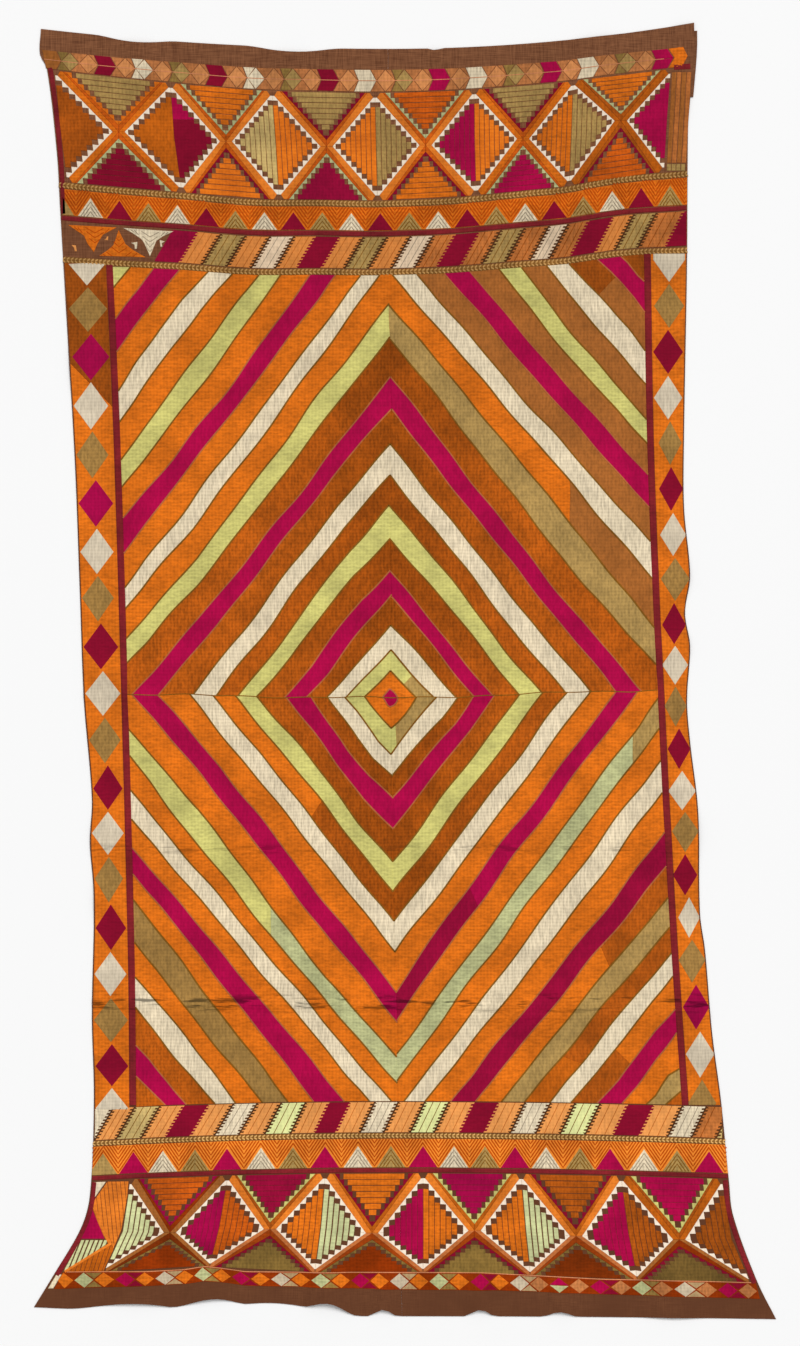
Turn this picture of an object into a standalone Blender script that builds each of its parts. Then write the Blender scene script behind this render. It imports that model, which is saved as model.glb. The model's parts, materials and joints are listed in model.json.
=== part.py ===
"""Phulkari shawl laid flat on a surface, with its head end towards +Y.

Two loom widths of khaddar meet at a seam down the centre. A strip of the right selvedge is
turned under at the head corner and peeps out. The cloth lies on z = 0 and lifts off it only
in soft folds. The origin is under the middle of the shawl.

Distances along the surface are in counts, the step in which the darned pattern is counted on
the threads of the ground. Heights are in millimetres.
"""
from collections import namedtuple
from math import cos, radians, sin

import bmesh
import bpy

MM = 0.001
COUNT = 1.9 * MM          # one counted step of the ground cloth
WALL = 2.0 * MM           # khaddar with its darned silk
CLEARANCE = 0.3 * MM      # between solids that touch

COLUMNS = 24              # cells across each loom width
FADE_HEAD = 24            # counts below the head edge over which its waves die out
FADE_FOOT = 75            # counts above the foot edge over which its waves die out
FOOT_FLAT = -565          # the foot waves start below this line

TURN_WIDTH = 10           # counts of the turned strip under the cloth
TURN_PEEP = 3             # counts of it that peep out past the edge
TURN_RAMP = 13            # counts over which the cloth climbs on to it
TURN_TOP = 640            # its upper end, just under the corner
TURN_END = 574            # its lower end
TURN_SPARE = 3            # counts that the cloth stays up past that end
TURN_FADE = 28            # counts over which the cloth comes down below it
TURN_CELLS = 5
SHARP_EDGE = radians(40)  # the cut edge of the cloth stays sharp

KHADDAR = (0.115, 0.052, 0.028, 1.0)
KHADDAR_SHADE = (0.060, 0.030, 0.018, 1.0)
KHADDAR_ROUGHNESS = 0.85

Weft = namedtuple("Weft", "name left seam right rows")
Edge = namedtuple("Edge", "y x")
Wave = namedtuple("Wave", "x half_width rise")
Fold = namedtuple("Fold", "x y heading half_length half_width height_mm")

# Lines across the cloth from head to foot: their height at the left edge, the seam and the
# right edge, and the rows of cells down to the next line.
WEFTS = [
    Weft("head_edge", 642, 622, 648, 1),
    Weft("plain_head", 622, 602, 626, 1),
    Weft("chevrons", 602, 579, 605, 1),
    Weft("turn_end", 572, 552, 571, 1),
    Weft("turn_free", 546, 526, 543, 1),
    Weft("cord", 486, 468, 497, 1),
    Weft("wine_line", 453, 438, 463, 1),
    Weft("braid", 412, 401, 421, 4),
    Weft("field_head", 300, 296, 306, 9),
    Weft("above_middle", 8, 8, 8, 2),
    Weft("middle_top", -15, -15, -15, 2),
    Weft("middle", -25, -25, -25, 2),
    Weft("middle_foot", -35, -35, -35, 3),
    Weft("soft_fold_top", -148, -148, -148, 4),
    Weft("soft_fold_foot", -208, -208, -208, 4),
    Weft("low_fold_top", -326, -326, -326, 5),
    Weft("low_fold_foot", -354, -354, -354, 3),
    Weft("foot_braid", -437, -430, -433, 1),
    Weft("foot_cord", -471, -463, -469, 1),
    Weft("foot_wine_line", -507, -499, -505, 4),
    Weft("foot_diamonds", -602, -600, -611, 1),
    Weft("plain_foot", -619, -619, -629, 2),
    Weft("foot_edge", -636, -645, -648, 0),
]

LEFT_EDGE = [
    Edge(642, -364), Edge(617, -365), Edge(602, -358), Edge(518, -348), Edge(466, -345),
    Edge(363, -339), Edge(208, -330), Edge(77, -325), Edge(-29, -321), Edge(-128, -313),
    Edge(-172, -315), Edge(-226, -311), Edge(-345, -313), Edge(-429, -311), Edge(-524, -315),
    Edge(-557, -324), Edge(-605, -352), Edge(-636, -371),
]
SEAM = [
    Edge(622, -17), Edge(401, -15), Edge(-26, -14), Edge(-430, -7), Edge(-645, -3),
]
RIGHT_EDGE = [
    Edge(648, 289), Edge(620, 289), Edge(571, 285), Edge(541, 283), Edge(407, 282),
    Edge(236, 279), Edge(164, 279), Edge(95, 285), Edge(58, 280), Edge(25, 285),
    Edge(-29, 282), Edge(-70, 285), Edge(-139, 293), Edge(-243, 295), Edge(-279, 300),
    Edge(-361, 307), Edge(-430, 316), Edge(-511, 324), Edge(-544, 328), Edge(-610, 352),
    Edge(-648, 371),
]

# Places where the end hems leave their own line, as the cloth lifts there.
HEAD_WAVES = [
    Wave(-270, 42, -4), Wave(-112, 50, -4.5), Wave(30, 9, -2),
]
FOOT_WAVES = [
    Wave(-265, 75, 8), Wave(-196, 40, 11), Wave(-135, 90, 12), Wave(-75, 28, 9),
    Wave(-22, 15, 7), Wave(75, 16, 7), Wave(155, 18, 5),
]

# Soft folds and the creases of storage. A heading of 0 runs across the cloth, 90 along it.
FOLDS = [
    Fold(-14, -25, 0, 640, 9, 2.4),
    Fold(-70, -334, -0.6, 420, 7, 2.6),
    Fold(70, -346, 0.4, 520, 7, 2.2),
    Fold(-150, -177, -4, 270, 28, 4.0),
    Fold(130, -186, 3, 270, 26, 3.2),
    Fold(-190, 130, 62, 150, 26, 2.4),
    Fold(150, 210, 100, 130, 24, 2.2),
    Fold(285, 93, -6, 74, 24, 3.6),
    Fold(286, 24, 5, 66, 18, 3.0),
    Fold(296, -160, 8, 80, 30, 4.2),
    Fold(-320, -228, -7, 74, 28, 3.6),
    Fold(-350, 300, 4, 60, 34, 3.0),
    Fold(-112, 624, 82, 46, 26, 4.0),
    Fold(-268, 634, 98, 52, 25, 4.4),
    Fold(30, 622, 88, 34, 12, 3.2),
    Fold(190, 630, 84, 56, 30, 4.0),
    Fold(-268, -640, 84, 80, 44, 6.0),
    Fold(-196, -642, 92, 66, 30, 8.0),
    Fold(-76, -644, 97, 84, 28, 12.0),
    Fold(-22, -646, 86, 52, 15, 8.0),
    Fold(75, -646, 94, 50, 16, 8.0),
    Fold(156, -646, 88, 46, 18, 6.5),
    Fold(270, -640, 76, 70, 36, 4.5),
]


def bump(t):
    """A soft hill: 1 at t = 0, and flat 0 from t = 1 outwards."""
    return (1 - t * t) ** 2 if abs(t) < 1 else 0.0


def ramp(t):
    """0 up to t = 0, 1 from t = 1, and smooth between."""
    t = min(max(t, 0.0), 1.0)
    return t * t * (3 - 2 * t)


def edge_x(edge, y):
    """Across position of an edge at height y, on a smooth curve through its rows."""
    last = len(edge) - 1
    k = 0
    while k < last - 1 and edge[k + 1].y > y:
        k += 1
    upper, lower = edge[k], edge[k + 1]
    before, after = edge[max(k - 1, 0)], edge[min(k + 2, last)]
    span = lower.y - upper.y
    slope_upper = (lower.x - before.x) / (lower.y - before.y) * span
    slope_lower = (after.x - upper.x) / (after.y - upper.y) * span
    t = min(max((y - upper.y) / span, 0.0), 1.0)
    return (upper.x * (1 + 2 * t) * (1 - t) ** 2 + slope_upper * t * (1 - t) ** 2
            + lower.x * t * t * (3 - 2 * t) + slope_lower * t * t * (t - 1))


def grid_lines():
    """Every line of grid points across the cloth: its height at left, seam and right."""
    lines = []
    for upper, lower in zip(WEFTS, WEFTS[1:]):
        for row in range(upper.rows):
            t = row / upper.rows
            lines.append(Weft(upper.name, upper.left + (lower.left - upper.left) * t,
                              upper.seam + (lower.seam - upper.seam) * t,
                              upper.right + (lower.right - upper.right) * t, 0))
    lines.append(WEFTS[-1])
    return lines


def end_wave(line, x):
    """How far the waves of the two hems carry a point of this line along the cloth."""
    at_head = ramp((line.seam - WEFTS[0].seam + FADE_HEAD) / FADE_HEAD)
    at_foot = ramp((FOOT_FLAT - line.seam) / FADE_FOOT)
    head = sum(wave.rise * bump((x - wave.x) / wave.half_width) for wave in HEAD_WAVES)
    foot = sum(wave.rise * bump((x - wave.x) / wave.half_width) for wave in FOOT_WAVES)
    return head * at_head + foot * at_foot


def place(line, edge, edge_y, t):
    """Point at fraction t of a line, from the side edge to the seam, in counts."""
    outer = edge_x(edge, edge_y)
    x = outer + (edge_x(SEAM, line.seam) - outer) * t
    y = line.seam + (edge_y - line.seam) * (1 - t) ** 2
    return x, y + end_wave(line, x)


def turn_lift(x, y):
    """Share, 0 to 1, of the full climb on to the turned strip."""
    inward = edge_x(RIGHT_EDGE, y) - x
    across = 1 - ramp((inward - TURN_RAMP) / TURN_RAMP)
    along = 1 - ramp((TURN_END - TURN_SPARE - y) / TURN_FADE)
    return across * along


def height(x, y):
    """Height of the cloth's underside above the surface, in metres."""
    total = 0.0
    for fold in FOLDS:
        turn = radians(fold.heading)
        dx, dy = x - fold.x, y - fold.y
        along = (dx * cos(turn) + dy * sin(turn)) / fold.half_length
        across = (dy * cos(turn) - dx * sin(turn)) / fold.half_width
        total += fold.height_mm * MM * bump(along) * bump(across)
    lift = turn_lift(x, y)
    return total * (1 - lift) + (WALL + CLEARANCE) * lift


def khaddar(name, colour):
    material = bpy.data.materials.new(name)
    material.use_nodes = True
    shader = material.node_tree.nodes["Principled BSDF"]
    shader.inputs["Base Color"].default_value = colour
    shader.inputs["Roughness"].default_value = KHADDAR_ROUGHNESS
    shader.inputs["Metallic"].default_value = 0.0
    return material


def sheet(name, grid, material):
    """Closed sheet of cloth from a grid of underside points, raised by the wall."""
    form = bmesh.new()
    rows = [[form.verts.new(point) for point in row] for row in grid]
    under = []
    for upper, lower in zip(rows, rows[1:]):
        for k in range(len(upper) - 1):
            under.append(form.faces.new((upper[k], upper[k + 1], lower[k + 1], lower[k])))
    raised = bmesh.ops.extrude_face_region(form, geom=under, use_keep_orig=True)["geom"]
    top = [item for item in raised if isinstance(item, bmesh.types.BMVert)]
    bmesh.ops.translate(form, verts=top, vec=(0, 0, WALL))
    bmesh.ops.triangulate(form, faces=form.faces[:])
    bmesh.ops.recalc_face_normals(form, faces=form.faces[:])
    mesh = bpy.data.meshes.new(name)
    form.to_mesh(mesh)
    form.free()
    mesh.materials.append(material)
    mesh.shade_smooth()
    mesh.set_sharp_from_angle(angle=SHARP_EDGE)
    piece = bpy.data.objects.new(name, mesh)
    bpy.context.scene.collection.objects.link(piece)
    return piece


def panel(name, edge, side, seam_shift, material):
    """One loom width, from its outer edge to the seam."""
    grid = []
    for line in grid_lines():
        row = []
        for column in range(COLUMNS + 1):
            x, y = place(line, edge, getattr(line, side), column / COLUMNS)
            shift = seam_shift if column == COLUMNS else 0.0
            row.append((x * COUNT + shift, y * COUNT, height(x, y)))
        grid.append(row)
    return sheet(name, grid, material)


def turned_edge(material):
    """The strip of selvedge turned under at the head corner."""
    grid = []
    for step in range(TURN_CELLS + 1):
        y = TURN_TOP + (TURN_END - TURN_TOP) * step / TURN_CELLS
        outer = edge_x(RIGHT_EDGE, y)
        grid.append([((outer - TURN_WIDTH) * COUNT, y * COUNT, 0.0),
                     ((outer + TURN_PEEP) * COUNT, y * COUNT, 0.0)])
    return sheet("turned_edge", grid, material)


def build():
    for item in list(bpy.data.objects):
        bpy.data.objects.remove(item)
    ground = khaddar("khaddar", KHADDAR)
    shade = khaddar("khaddar_turned", KHADDAR_SHADE)
    panel("panel_left", LEFT_EDGE, "left", -CLEARANCE / 2, ground)
    panel("panel_right", RIGHT_EDGE, "right", CLEARANCE / 2, ground)
    turned_edge(shade)


build()
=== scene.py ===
"""Looks of the phulkari shawl: darned silk floss on khaddar, laid flat and seen from above.

Distances along the cloth are in counts, as in part.py: x across, y towards the head end.
A pattern patch is a polygon in counts. It is cut into cells, bevelled at its rim and carried
up by the same folds as the solids. Lines of stitches are ribbons laid over the patches.
"""
import json
from collections import namedtuple
from math import atan, ceil, cos, pi, radians, sin, sqrt

import bpy
import numpy as np
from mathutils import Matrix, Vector
from mathutils.geometry import delaunay_2d_cdt

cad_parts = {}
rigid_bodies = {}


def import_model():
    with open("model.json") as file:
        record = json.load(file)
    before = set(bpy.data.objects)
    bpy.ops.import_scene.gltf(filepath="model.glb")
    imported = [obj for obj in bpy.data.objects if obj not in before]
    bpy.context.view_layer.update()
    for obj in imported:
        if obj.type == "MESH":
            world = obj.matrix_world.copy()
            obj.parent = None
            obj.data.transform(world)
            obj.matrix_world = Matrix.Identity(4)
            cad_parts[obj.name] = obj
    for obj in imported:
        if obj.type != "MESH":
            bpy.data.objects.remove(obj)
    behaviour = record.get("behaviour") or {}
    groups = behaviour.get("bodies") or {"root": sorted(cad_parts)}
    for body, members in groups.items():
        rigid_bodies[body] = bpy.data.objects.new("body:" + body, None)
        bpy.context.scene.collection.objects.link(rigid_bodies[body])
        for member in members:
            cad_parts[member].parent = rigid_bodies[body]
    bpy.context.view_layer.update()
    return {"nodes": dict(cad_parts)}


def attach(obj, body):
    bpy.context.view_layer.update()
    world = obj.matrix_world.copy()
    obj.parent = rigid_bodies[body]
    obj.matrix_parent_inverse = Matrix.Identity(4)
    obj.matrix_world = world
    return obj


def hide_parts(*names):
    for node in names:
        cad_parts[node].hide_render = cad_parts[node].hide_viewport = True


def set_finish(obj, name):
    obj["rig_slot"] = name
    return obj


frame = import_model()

# ---------------------------------------------------------------- the cloth, as in part.py

MM = 0.001
COUNT = 1.9 * MM
WALL = 2.0 * MM
CLEARANCE = 0.3 * MM
FADE_HEAD = 24
FADE_FOOT = 75
FOOT_FLAT = -565
HEAD_SEAM = 622
TURN_RAMP = 13
TURN_END = 574
TURN_SPARE = 3
TURN_FADE = 28

Line = namedtuple("Line", "left seam right")
Wave = namedtuple("Wave", "x half_width rise")
Fold = namedtuple("Fold", "x y heading half_length half_width height_mm")

HEAD_EDGE = Line(642, 622, 648)
PLAIN_HEAD = Line(622, 602, 626)
CHEVRON_FOOT = Line(602, 579, 605)
CORD_HEAD = Line(489, 471, 500)
CORD_FOOT = Line(483, 465, 494)
WINE_HEAD = Line(455.5, 440.5, 465.5)
WINE_FOOT = Line(450.5, 435.5, 460.5)
BRAID_HEAD = Line(414.5, 402.5, 424)
BRAID_FOOT = Line(408, 396.5, 417)
FOOT_TOP = Line(-437, -430, -435)
FOOT_BRAID_HEAD = Line(-470, -462, -468)
FOOT_BRAID_FOOT = Line(-475, -467, -473)
FOOT_WINE_HEAD = Line(-505, -497, -503)
FOOT_WINE_FOOT = Line(-509.5, -501.5, -507.5)
FOOT_DIAMOND_FOOT = Line(-602, -600, -611)
PLAIN_FOOT = Line(-619, -619, -629)
FOOT_EDGE = Line(-636, -645, -648)

LEFT_EDGE = [
    (642, -364), (617, -365), (602, -358), (518, -348), (466, -345), (363, -339), (208, -330),
    (77, -325), (-29, -321), (-128, -313), (-172, -315), (-226, -311), (-345, -313), (-429, -311),
    (-524, -315), (-557, -324), (-605, -352), (-636, -371),
]
SEAM = [
    (622, -17), (401, -15), (-26, -14), (-430, -7), (-645, -3),
]
RIGHT_EDGE = [
    (648, 289), (620, 289), (571, 285), (541, 283), (407, 282), (236, 279), (164, 279), (95, 285),
    (58, 280), (25, 285), (-29, 282), (-70, 285), (-139, 293), (-243, 295), (-279, 300),
    (-361, 307), (-430, 316), (-511, 324), (-544, 328), (-610, 352), (-648, 371),
]
LEFT_LINE = [
    (404, -295.3), (236, -288), (-29, -280), (-289, -273.4), (-433, -272),
]
RIGHT_LINE = [
    (417, 242), (236, 245), (71, 251), (-29, 256), (-129, 260.8), (-289, 270), (-433, 280),
]

HEAD_WAVES = [
    Wave(-270, 42, -4), Wave(-112, 50, -4.5), Wave(30, 9, -2),
]
FOOT_WAVES = [
    Wave(-265, 75, 8), Wave(-196, 40, 11), Wave(-135, 90, 12), Wave(-75, 28, 9),
    Wave(-22, 15, 7), Wave(75, 16, 7), Wave(155, 18, 5),
]

ROW_WAVES = [
    Wave(-150, 80, -2.6), Wave(-45, 70, -1.2), Wave(130, 110, 3), Wave(220, 70, 5),
]

FOLDS = [Fold(*row) for row in (
    (-14, -25, 0, 640, 9, 2.4), (-70, -334, -0.6, 420, 7, 2.6), (70, -346, 0.4, 520, 7, 2.2),
    (-150, -177, -4, 270, 28, 4.0), (130, -186, 3, 270, 26, 3.2), (-190, 130, 62, 150, 26, 2.4),
    (150, 210, 100, 130, 24, 2.2), (285, 93, -6, 74, 24, 3.6), (286, 24, 5, 66, 18, 3.0),
    (296, -160, 8, 80, 30, 4.2), (-320, -228, -7, 74, 28, 3.6), (-350, 300, 4, 60, 34, 3.0),
    (-112, 624, 82, 46, 26, 4.0), (-268, 634, 98, 52, 25, 4.4), (30, 622, 88, 34, 12, 3.2),
    (190, 630, 84, 56, 30, 4.0), (-268, -640, 84, 80, 44, 6.0), (-196, -642, 92, 66, 30, 8.0),
    (-76, -644, 97, 84, 28, 12.0), (-22, -646, 86, 52, 15, 8.0), (75, -646, 94, 50, 16, 8.0),
    (156, -646, 88, 46, 18, 6.5), (270, -640, 76, 70, 36, 4.5),
)]

KHADDAR = 1.4 * MM        # ground cloth in the scene, so that the floss can stand on it
SUNK = 1.3 * MM           # rim of a patch, just inside the ground cloth
CLOSED = 1.7 * MM         # rim of a patch whose neighbours touch it, clear of the ground
FLOSS = 2.1 * MM          # top of the darned silk
MOTIF = 2.5 * MM          # top of a motif that is laid over another floss
ON_FLOSS = 1.9 * MM       # and its rim
STITCH = 2.75 * MM        # top of the braid stitches
CELL = 5.0                # counts between the points of a patch
CREASES = ((-44, -6), (-360, -318))    # sharp folds across the cloth: twice as many points there
SHARP_EDGE = radians(28)
FIELD_TOP, FIELD_FOOT = 394, -424    # the pattern of the field drifts between them
FIELD_SIDE = 4                       # counts from the line of a border to the field
FIELD_FADE = 24                      # over this distance inside its sides the drift sets in
DRIFT, FINE_DRIFT = 0.9, 0.5         # counts


def bump(t):
    """A soft hill: 1 at t = 0, and flat 0 from t = 1 outwards."""
    return np.where(np.abs(t) < 1, (1 - t * t) ** 2, 0.0)


def ramp(t):
    """0 up to t = 0, 1 from t = 1, and smooth between."""
    t = np.clip(t, 0.0, 1.0)
    return t * t * (3 - 2 * t)


def edge_x(edge, y):
    """Across position of an edge at height y, on a smooth curve through its rows."""
    y = np.asarray(y, dtype=float)
    rows = np.array(edge, dtype=float)
    last = len(edge) - 1
    k = np.clip(np.searchsorted(-rows[:, 0], -y) - 1, 0, last - 1)
    near_k = (np.maximum(k - 1, 0), k, k + 1, np.minimum(k + 2, last))
    (y0, x0), (y1, x1), (y2, x2), (y3, x3) = [np.moveaxis(rows[i], -1, 0) for i in near_k]
    span = y2 - y1
    slope_upper = (x2 - x0) / (y2 - y0) * span
    slope_lower = (x3 - x1) / (y3 - y1) * span
    t = np.clip((y - y1) / span, 0.0, 1.0)
    return (x1 * (1 + 2 * t) * (1 - t) ** 2 + slope_upper * t * (1 - t) ** 2
            + x2 * t * t * (3 - 2 * t) + slope_lower * t * t * (t - 1))


def swell(waves, x):
    """How far a row of soft waves carries a point at position x."""
    return sum(wave.rise * bump((x - wave.x) / wave.half_width) for wave in waves)


def end_wave(line, x):
    """How far the waves of the two hems carry a point of this line along the cloth."""
    at_head = ramp((line.seam - HEAD_SEAM + FADE_HEAD) / FADE_HEAD)
    at_foot = ramp((FOOT_FLAT - line.seam) / FADE_FOOT)
    return swell(HEAD_WAVES, x) * at_head + swell(FOOT_WAVES, x) * at_foot


def row_wave(line, x):
    """How far the rows at the head swing from an even curve, fading out towards the hem."""
    if line.seam <= 0:
        return 0.0
    share = sqrt(min(1.0, max(0.0, (HEAD_SEAM - line.seam) / (HEAD_SEAM - CORD_HEAD.seam))))
    return swell(ROW_WAVES, x) * share


def line_y(line, x):
    """Height of a line across the cloth at position x."""
    x = np.asarray(x, dtype=float)
    seam = edge_x(SEAM, line.seam)
    left, right = edge_x(LEFT_EDGE, line.left), edge_x(RIGHT_EDGE, line.right)
    t = np.where(x < seam, (seam - x) / (seam - left), (x - seam) / (right - seam))
    side = np.where(x < seam, line.left, line.right)
    even = line.seam + (side - line.seam) * np.clip(t, 0.0, 1.1) ** 2
    return even + end_wave(line, x) + row_wave(line, x)


def x_on(edge, y):
    return float(edge_x(edge, y))


def y_on(line, x):
    return float(line_y(line, x))


def between(upper, lower, share):
    """The line at this share of the way from the upper line to the lower one."""
    return Line(*[a + (b - a) * share for a, b in zip(upper, lower)])


def height(x, y):
    """Height of the cloth's underside above the surface, in metres."""
    total = np.zeros_like(x)
    for fold in FOLDS:
        turn = radians(fold.heading)
        dx, dy = x - fold.x, y - fold.y
        along = (dx * cos(turn) + dy * sin(turn)) / fold.half_length
        across = (dy * cos(turn) - dx * sin(turn)) / fold.half_width
        total += fold.height_mm * MM * bump(along) * bump(across)
    inward = edge_x(RIGHT_EDGE, y) - x
    lift = 1 - ramp((inward - TURN_RAMP) / TURN_RAMP)
    lift = lift * (1 - ramp((TURN_END - TURN_SPARE - y) / TURN_FADE))
    return total * (1 - lift) + (WALL + CLEARANCE) * lift


def wobble(x, y):
    """Small sideways drift of the hand-counted pattern inside the field, in counts."""
    inside = 1.0
    for gap in (x - edge_x(LEFT_LINE, y) - FIELD_SIDE, edge_x(RIGHT_LINE, y) - FIELD_SIDE - x,
                FIELD_TOP - y, y - FIELD_FOOT):
        inside = inside * ramp(gap / FIELD_FADE)
    drift_x = DRIFT * np.sin(x / 23 + y / 31) + FINE_DRIFT * np.sin(y / 10 - x / 41)
    drift_y = DRIFT * np.sin(x / 29 - y / 37 + 2) + FINE_DRIFT * np.sin(x / 9.5 + y / 53)
    return x + drift_x * inside, y + drift_y * inside


# ---------------------------------------------------------------- materials


def shade(red, green, blue):
    """Linear colour of an sRGB one given in 0 to 255."""
    srgb = [value / 255 for value in (red, green, blue)]
    linear = [v / 12.92 if v <= 0.04045 else ((v + 0.055) / 1.055) ** 2.4 for v in srgb]
    return (*linear, 1.0)


def new_material(name, roughness, specular=0.5):
    material = bpy.data.materials.new(name)
    material.use_nodes = True
    shader = material.node_tree.nodes["Principled BSDF"]
    shader.inputs["Roughness"].default_value = roughness
    shader.inputs["Specular IOR Level"].default_value = specular
    return material, material.node_tree, shader


def node(tree, kind, inputs, output=0, **settings):
    """An output of a new node. Each of its inputs is a constant or the output of a node."""
    item = tree.nodes.new("ShaderNode" + kind)
    for key, value in settings.items():
        setattr(item, key, value)
    for key, value in inputs.items():
        if isinstance(value, bpy.types.NodeSocket):
            tree.links.new(value, item.inputs[key])
        else:
            item.inputs[key].default_value = value
    return item.outputs[output]


def cloth_spot(tree):
    return node(tree, "TexCoord", {}, "Object")


def noise(tree, scale, stretch, detail=2.0):
    """Noise over the cloth, with its own stretch across, along and up."""
    spot = node(tree, "Mapping", {"Vector": cloth_spot(tree), "Scale": stretch})
    return node(tree, "TexNoise", {"Vector": spot, "Scale": scale, "Detail": detail}, "Fac")


def spread(tree, value, low, high, first=0.0, last=1.0):
    """The value between low and high, drawn out to the range from first to last."""
    inputs = {"Value": value, "From Min": low, "From Max": high, "To Min": first, "To Max": last}
    return node(tree, "MapRange", inputs, "Result")


def blend(tree, share, first, second):
    """Mix of two colours."""
    return node(tree, "Mix", {"Factor": share, 6: first, 7: second}, 2, data_type="RGBA")


def relief(tree, shader, value, distance, strength):
    inputs = {"Height": value, "Distance": distance, "Strength": strength}
    tree.links.new(node(tree, "Bump", inputs, "Normal"), shader.inputs["Normal"])


ACROSS = (0.42, 1.0, 1.0)     # short stitches across the cloth
ALONG = (1.0, 0.42, 1.0)      # short stitches along it
STREAKS = (1.0, 0.16, 1.0)    # long floats along the cloth
EVEN = (1.0, 1.0, 1.0)
BLACK = (0.0, 0.0, 0.0, 1.0)
PALE = (0.93, 0.93, 0.93, 1.0)
WHITE = (1.0, 1.0, 1.0, 1.0)
MOST = (0.36, 0.64)       # the range in which most values of a noise lie
CENTRE_X = -0.0266        # metres, the seam between the two panels
FADED_BELOW, FRESH_ABOVE = 0.35, 1.0    # metres along the cloth; the dye is darker at the head
FRESH_DEPTH = 0.15
SEAM_REACH = 0.26         # metres from the seam to where the deep tone beside it has gone
# the creases across the cloth that get painted shadow
PLEATS = ((-0.631, 0.022, 1.0), (-0.338, 0.012, 0.5))    # middle, half width, depth
PLEAT_CORE = 1.4          # keeps the full depth in the middle part of a pleat
PLEAT_NOISE = (130.0, (0.13, 1.0, 1.0), 3.0)             # scale, stretch and detail
PLEAT_RANGE = (0.53, 0.62)
GRID = 48.0               # of the waves that give lines 6.5 mm apart
GRID_WAVER = 2.2
FLECK_SHARE, GRID_SHARE = 0.6, 0.4
SILK_ROUGH, SILK_SHINE = 0.6, 0.02
COTTON_ROUGH, COTTON_SHINE = 0.88, 0.03
THREADS = 500.0           # scale of the noise that gives the threads of the khaddar
EARTH = (96, 58, 38)      # the ground cloth in the gaps between its threads
FADED = (150, 100, 68)    # and where it has faded, towards the head


def calculate(tree, operation, *values):
    """One step of arithmetic on one or two values."""
    return node(tree, "Math", dict(enumerate(values)), operation=operation)


def place_on(tree, axis):
    """Metres from the middle of the cloth, across for X and along for Y."""
    return node(tree, "SeparateXYZ", {"Vector": cloth_spot(tree)}, axis)


def toward_head(tree, most):
    """A share that grows from 0 to the given most towards the head end."""
    return spread(tree, place_on(tree, "Y"), FADED_BELOW, FRESH_ABOVE, 0.0, most)


def near(tree, axis, spot, reach, most):
    """A share that falls from the given most at a place on one axis to 0 over the reach."""
    away = calculate(tree, "SUBTRACT", place_on(tree, axis), spot)
    return spread(tree, calculate(tree, "ABSOLUTE", away), 0.0, reach, most, 0.0)


def painted_crease_shadow(tree):
    """Share of shadow in the crumpled creases that run across the cloth."""
    lines = spread(tree, noise(tree, *PLEAT_NOISE), *PLEAT_RANGE)
    total = 0.0
    for middle, reach, depth in PLEATS:
        close = near(tree, "Y", middle, reach, depth * PLEAT_CORE)
        total = calculate(tree, "ADD", calculate(tree, "MINIMUM", close, depth), total)
    return calculate(tree, "MULTIPLY", total, lines)


def float_ends(tree):
    """Rows of stitches both ways, where the floats of the darning end."""
    total = 0.0
    for direction in ("X", "Y"):
        inputs = {"Vector": cloth_spot(tree), "Scale": GRID, "Distortion": GRID_WAVER,
                  "Detail Scale": 0.8}
        wave = node(tree, "TexWave", inputs, "Fac", bands_direction=direction)
        total = calculate(tree, "ADD", wave, total)
    return spread(tree, total, 0.2, 1.5)


def floss(name, colour, grain, flecks=0.13, drift=0.1, fineness=240.0, deep_seam=0.0):
    """Untwisted silk in darning stitch: flecks along the stitches, dye that varies slowly, and
    painted shadow along the creases across the cloth.
    """
    material, tree, shader = new_material("floss_" + name, SILK_ROUGH, SILK_SHINE)
    fleck = spread(tree, noise(tree, fineness, grain, 3.0), *MOST)
    fleck = calculate(tree, "ADD", calculate(tree, "MULTIPLY", fleck, FLECK_SHARE),
                      calculate(tree, "MULTIPLY", float_ends(tree), GRID_SHARE))
    mottle = spread(tree, noise(tree, 14.0, EVEN, 4.0), *MOST)
    tones = []
    for dye in (1 - drift, 1 + drift * 0.75):
        dark, light = [shade(*[min(255, v * dye * k) for v in colour])
                       for k in (1 - flecks, 1 + flecks * 0.8)]
        tones.append(blend(tree, fleck, dark, light))
    floss_colour = blend(tree, toward_head(tree, FRESH_DEPTH), blend(tree, mottle, *tones), BLACK)
    if deep_seam:
        floss_colour = blend(tree, near(tree, "X", CENTRE_X, SEAM_REACH, deep_seam), floss_colour, BLACK)
    # painted shadow: the colour darkens towards 0.6 of itself along the creases across the cloth
    floss_colour = blend(tree, painted_crease_shadow(tree), floss_colour, shade(*[v * 0.6 for v in colour]))
    tree.links.new(floss_colour, shader.inputs["Base Color"])
    relief(tree, shader, fleck, 0.0006, 0.3)
    return material


def khaddar(name, dark, light):
    """Coarse handspun cotton: threads both ways with slubs."""
    material, tree, shader = new_material(name, COTTON_ROUGH, COTTON_SHINE)
    warp, weft = [noise(tree, THREADS, way) for way in ((1.0, 0.06, 1.0), (0.06, 1.0, 1.0))]
    threads = spread(tree, calculate(tree, "ADD", warp, weft), 0.7, 1.3)
    age = spread(tree, noise(tree, 9.0, EVEN, 4.0), 0.35, 0.65)
    worn = blend(tree, age, shade(*dark), shade(*light))
    worn = blend(tree, toward_head(tree, 0.6), worn, shade(*FADED))
    colour = blend(tree, threads, shade(*EARTH), worn)
    tree.links.new(colour, shader.inputs["Base Color"])
    relief(tree, shader, threads, 0.0005, 0.4)
    return material


def floor_material():
    material, _, shader = new_material("floor", 0.7)
    shader.inputs["Base Color"].default_value = PALE
    return material


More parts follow.
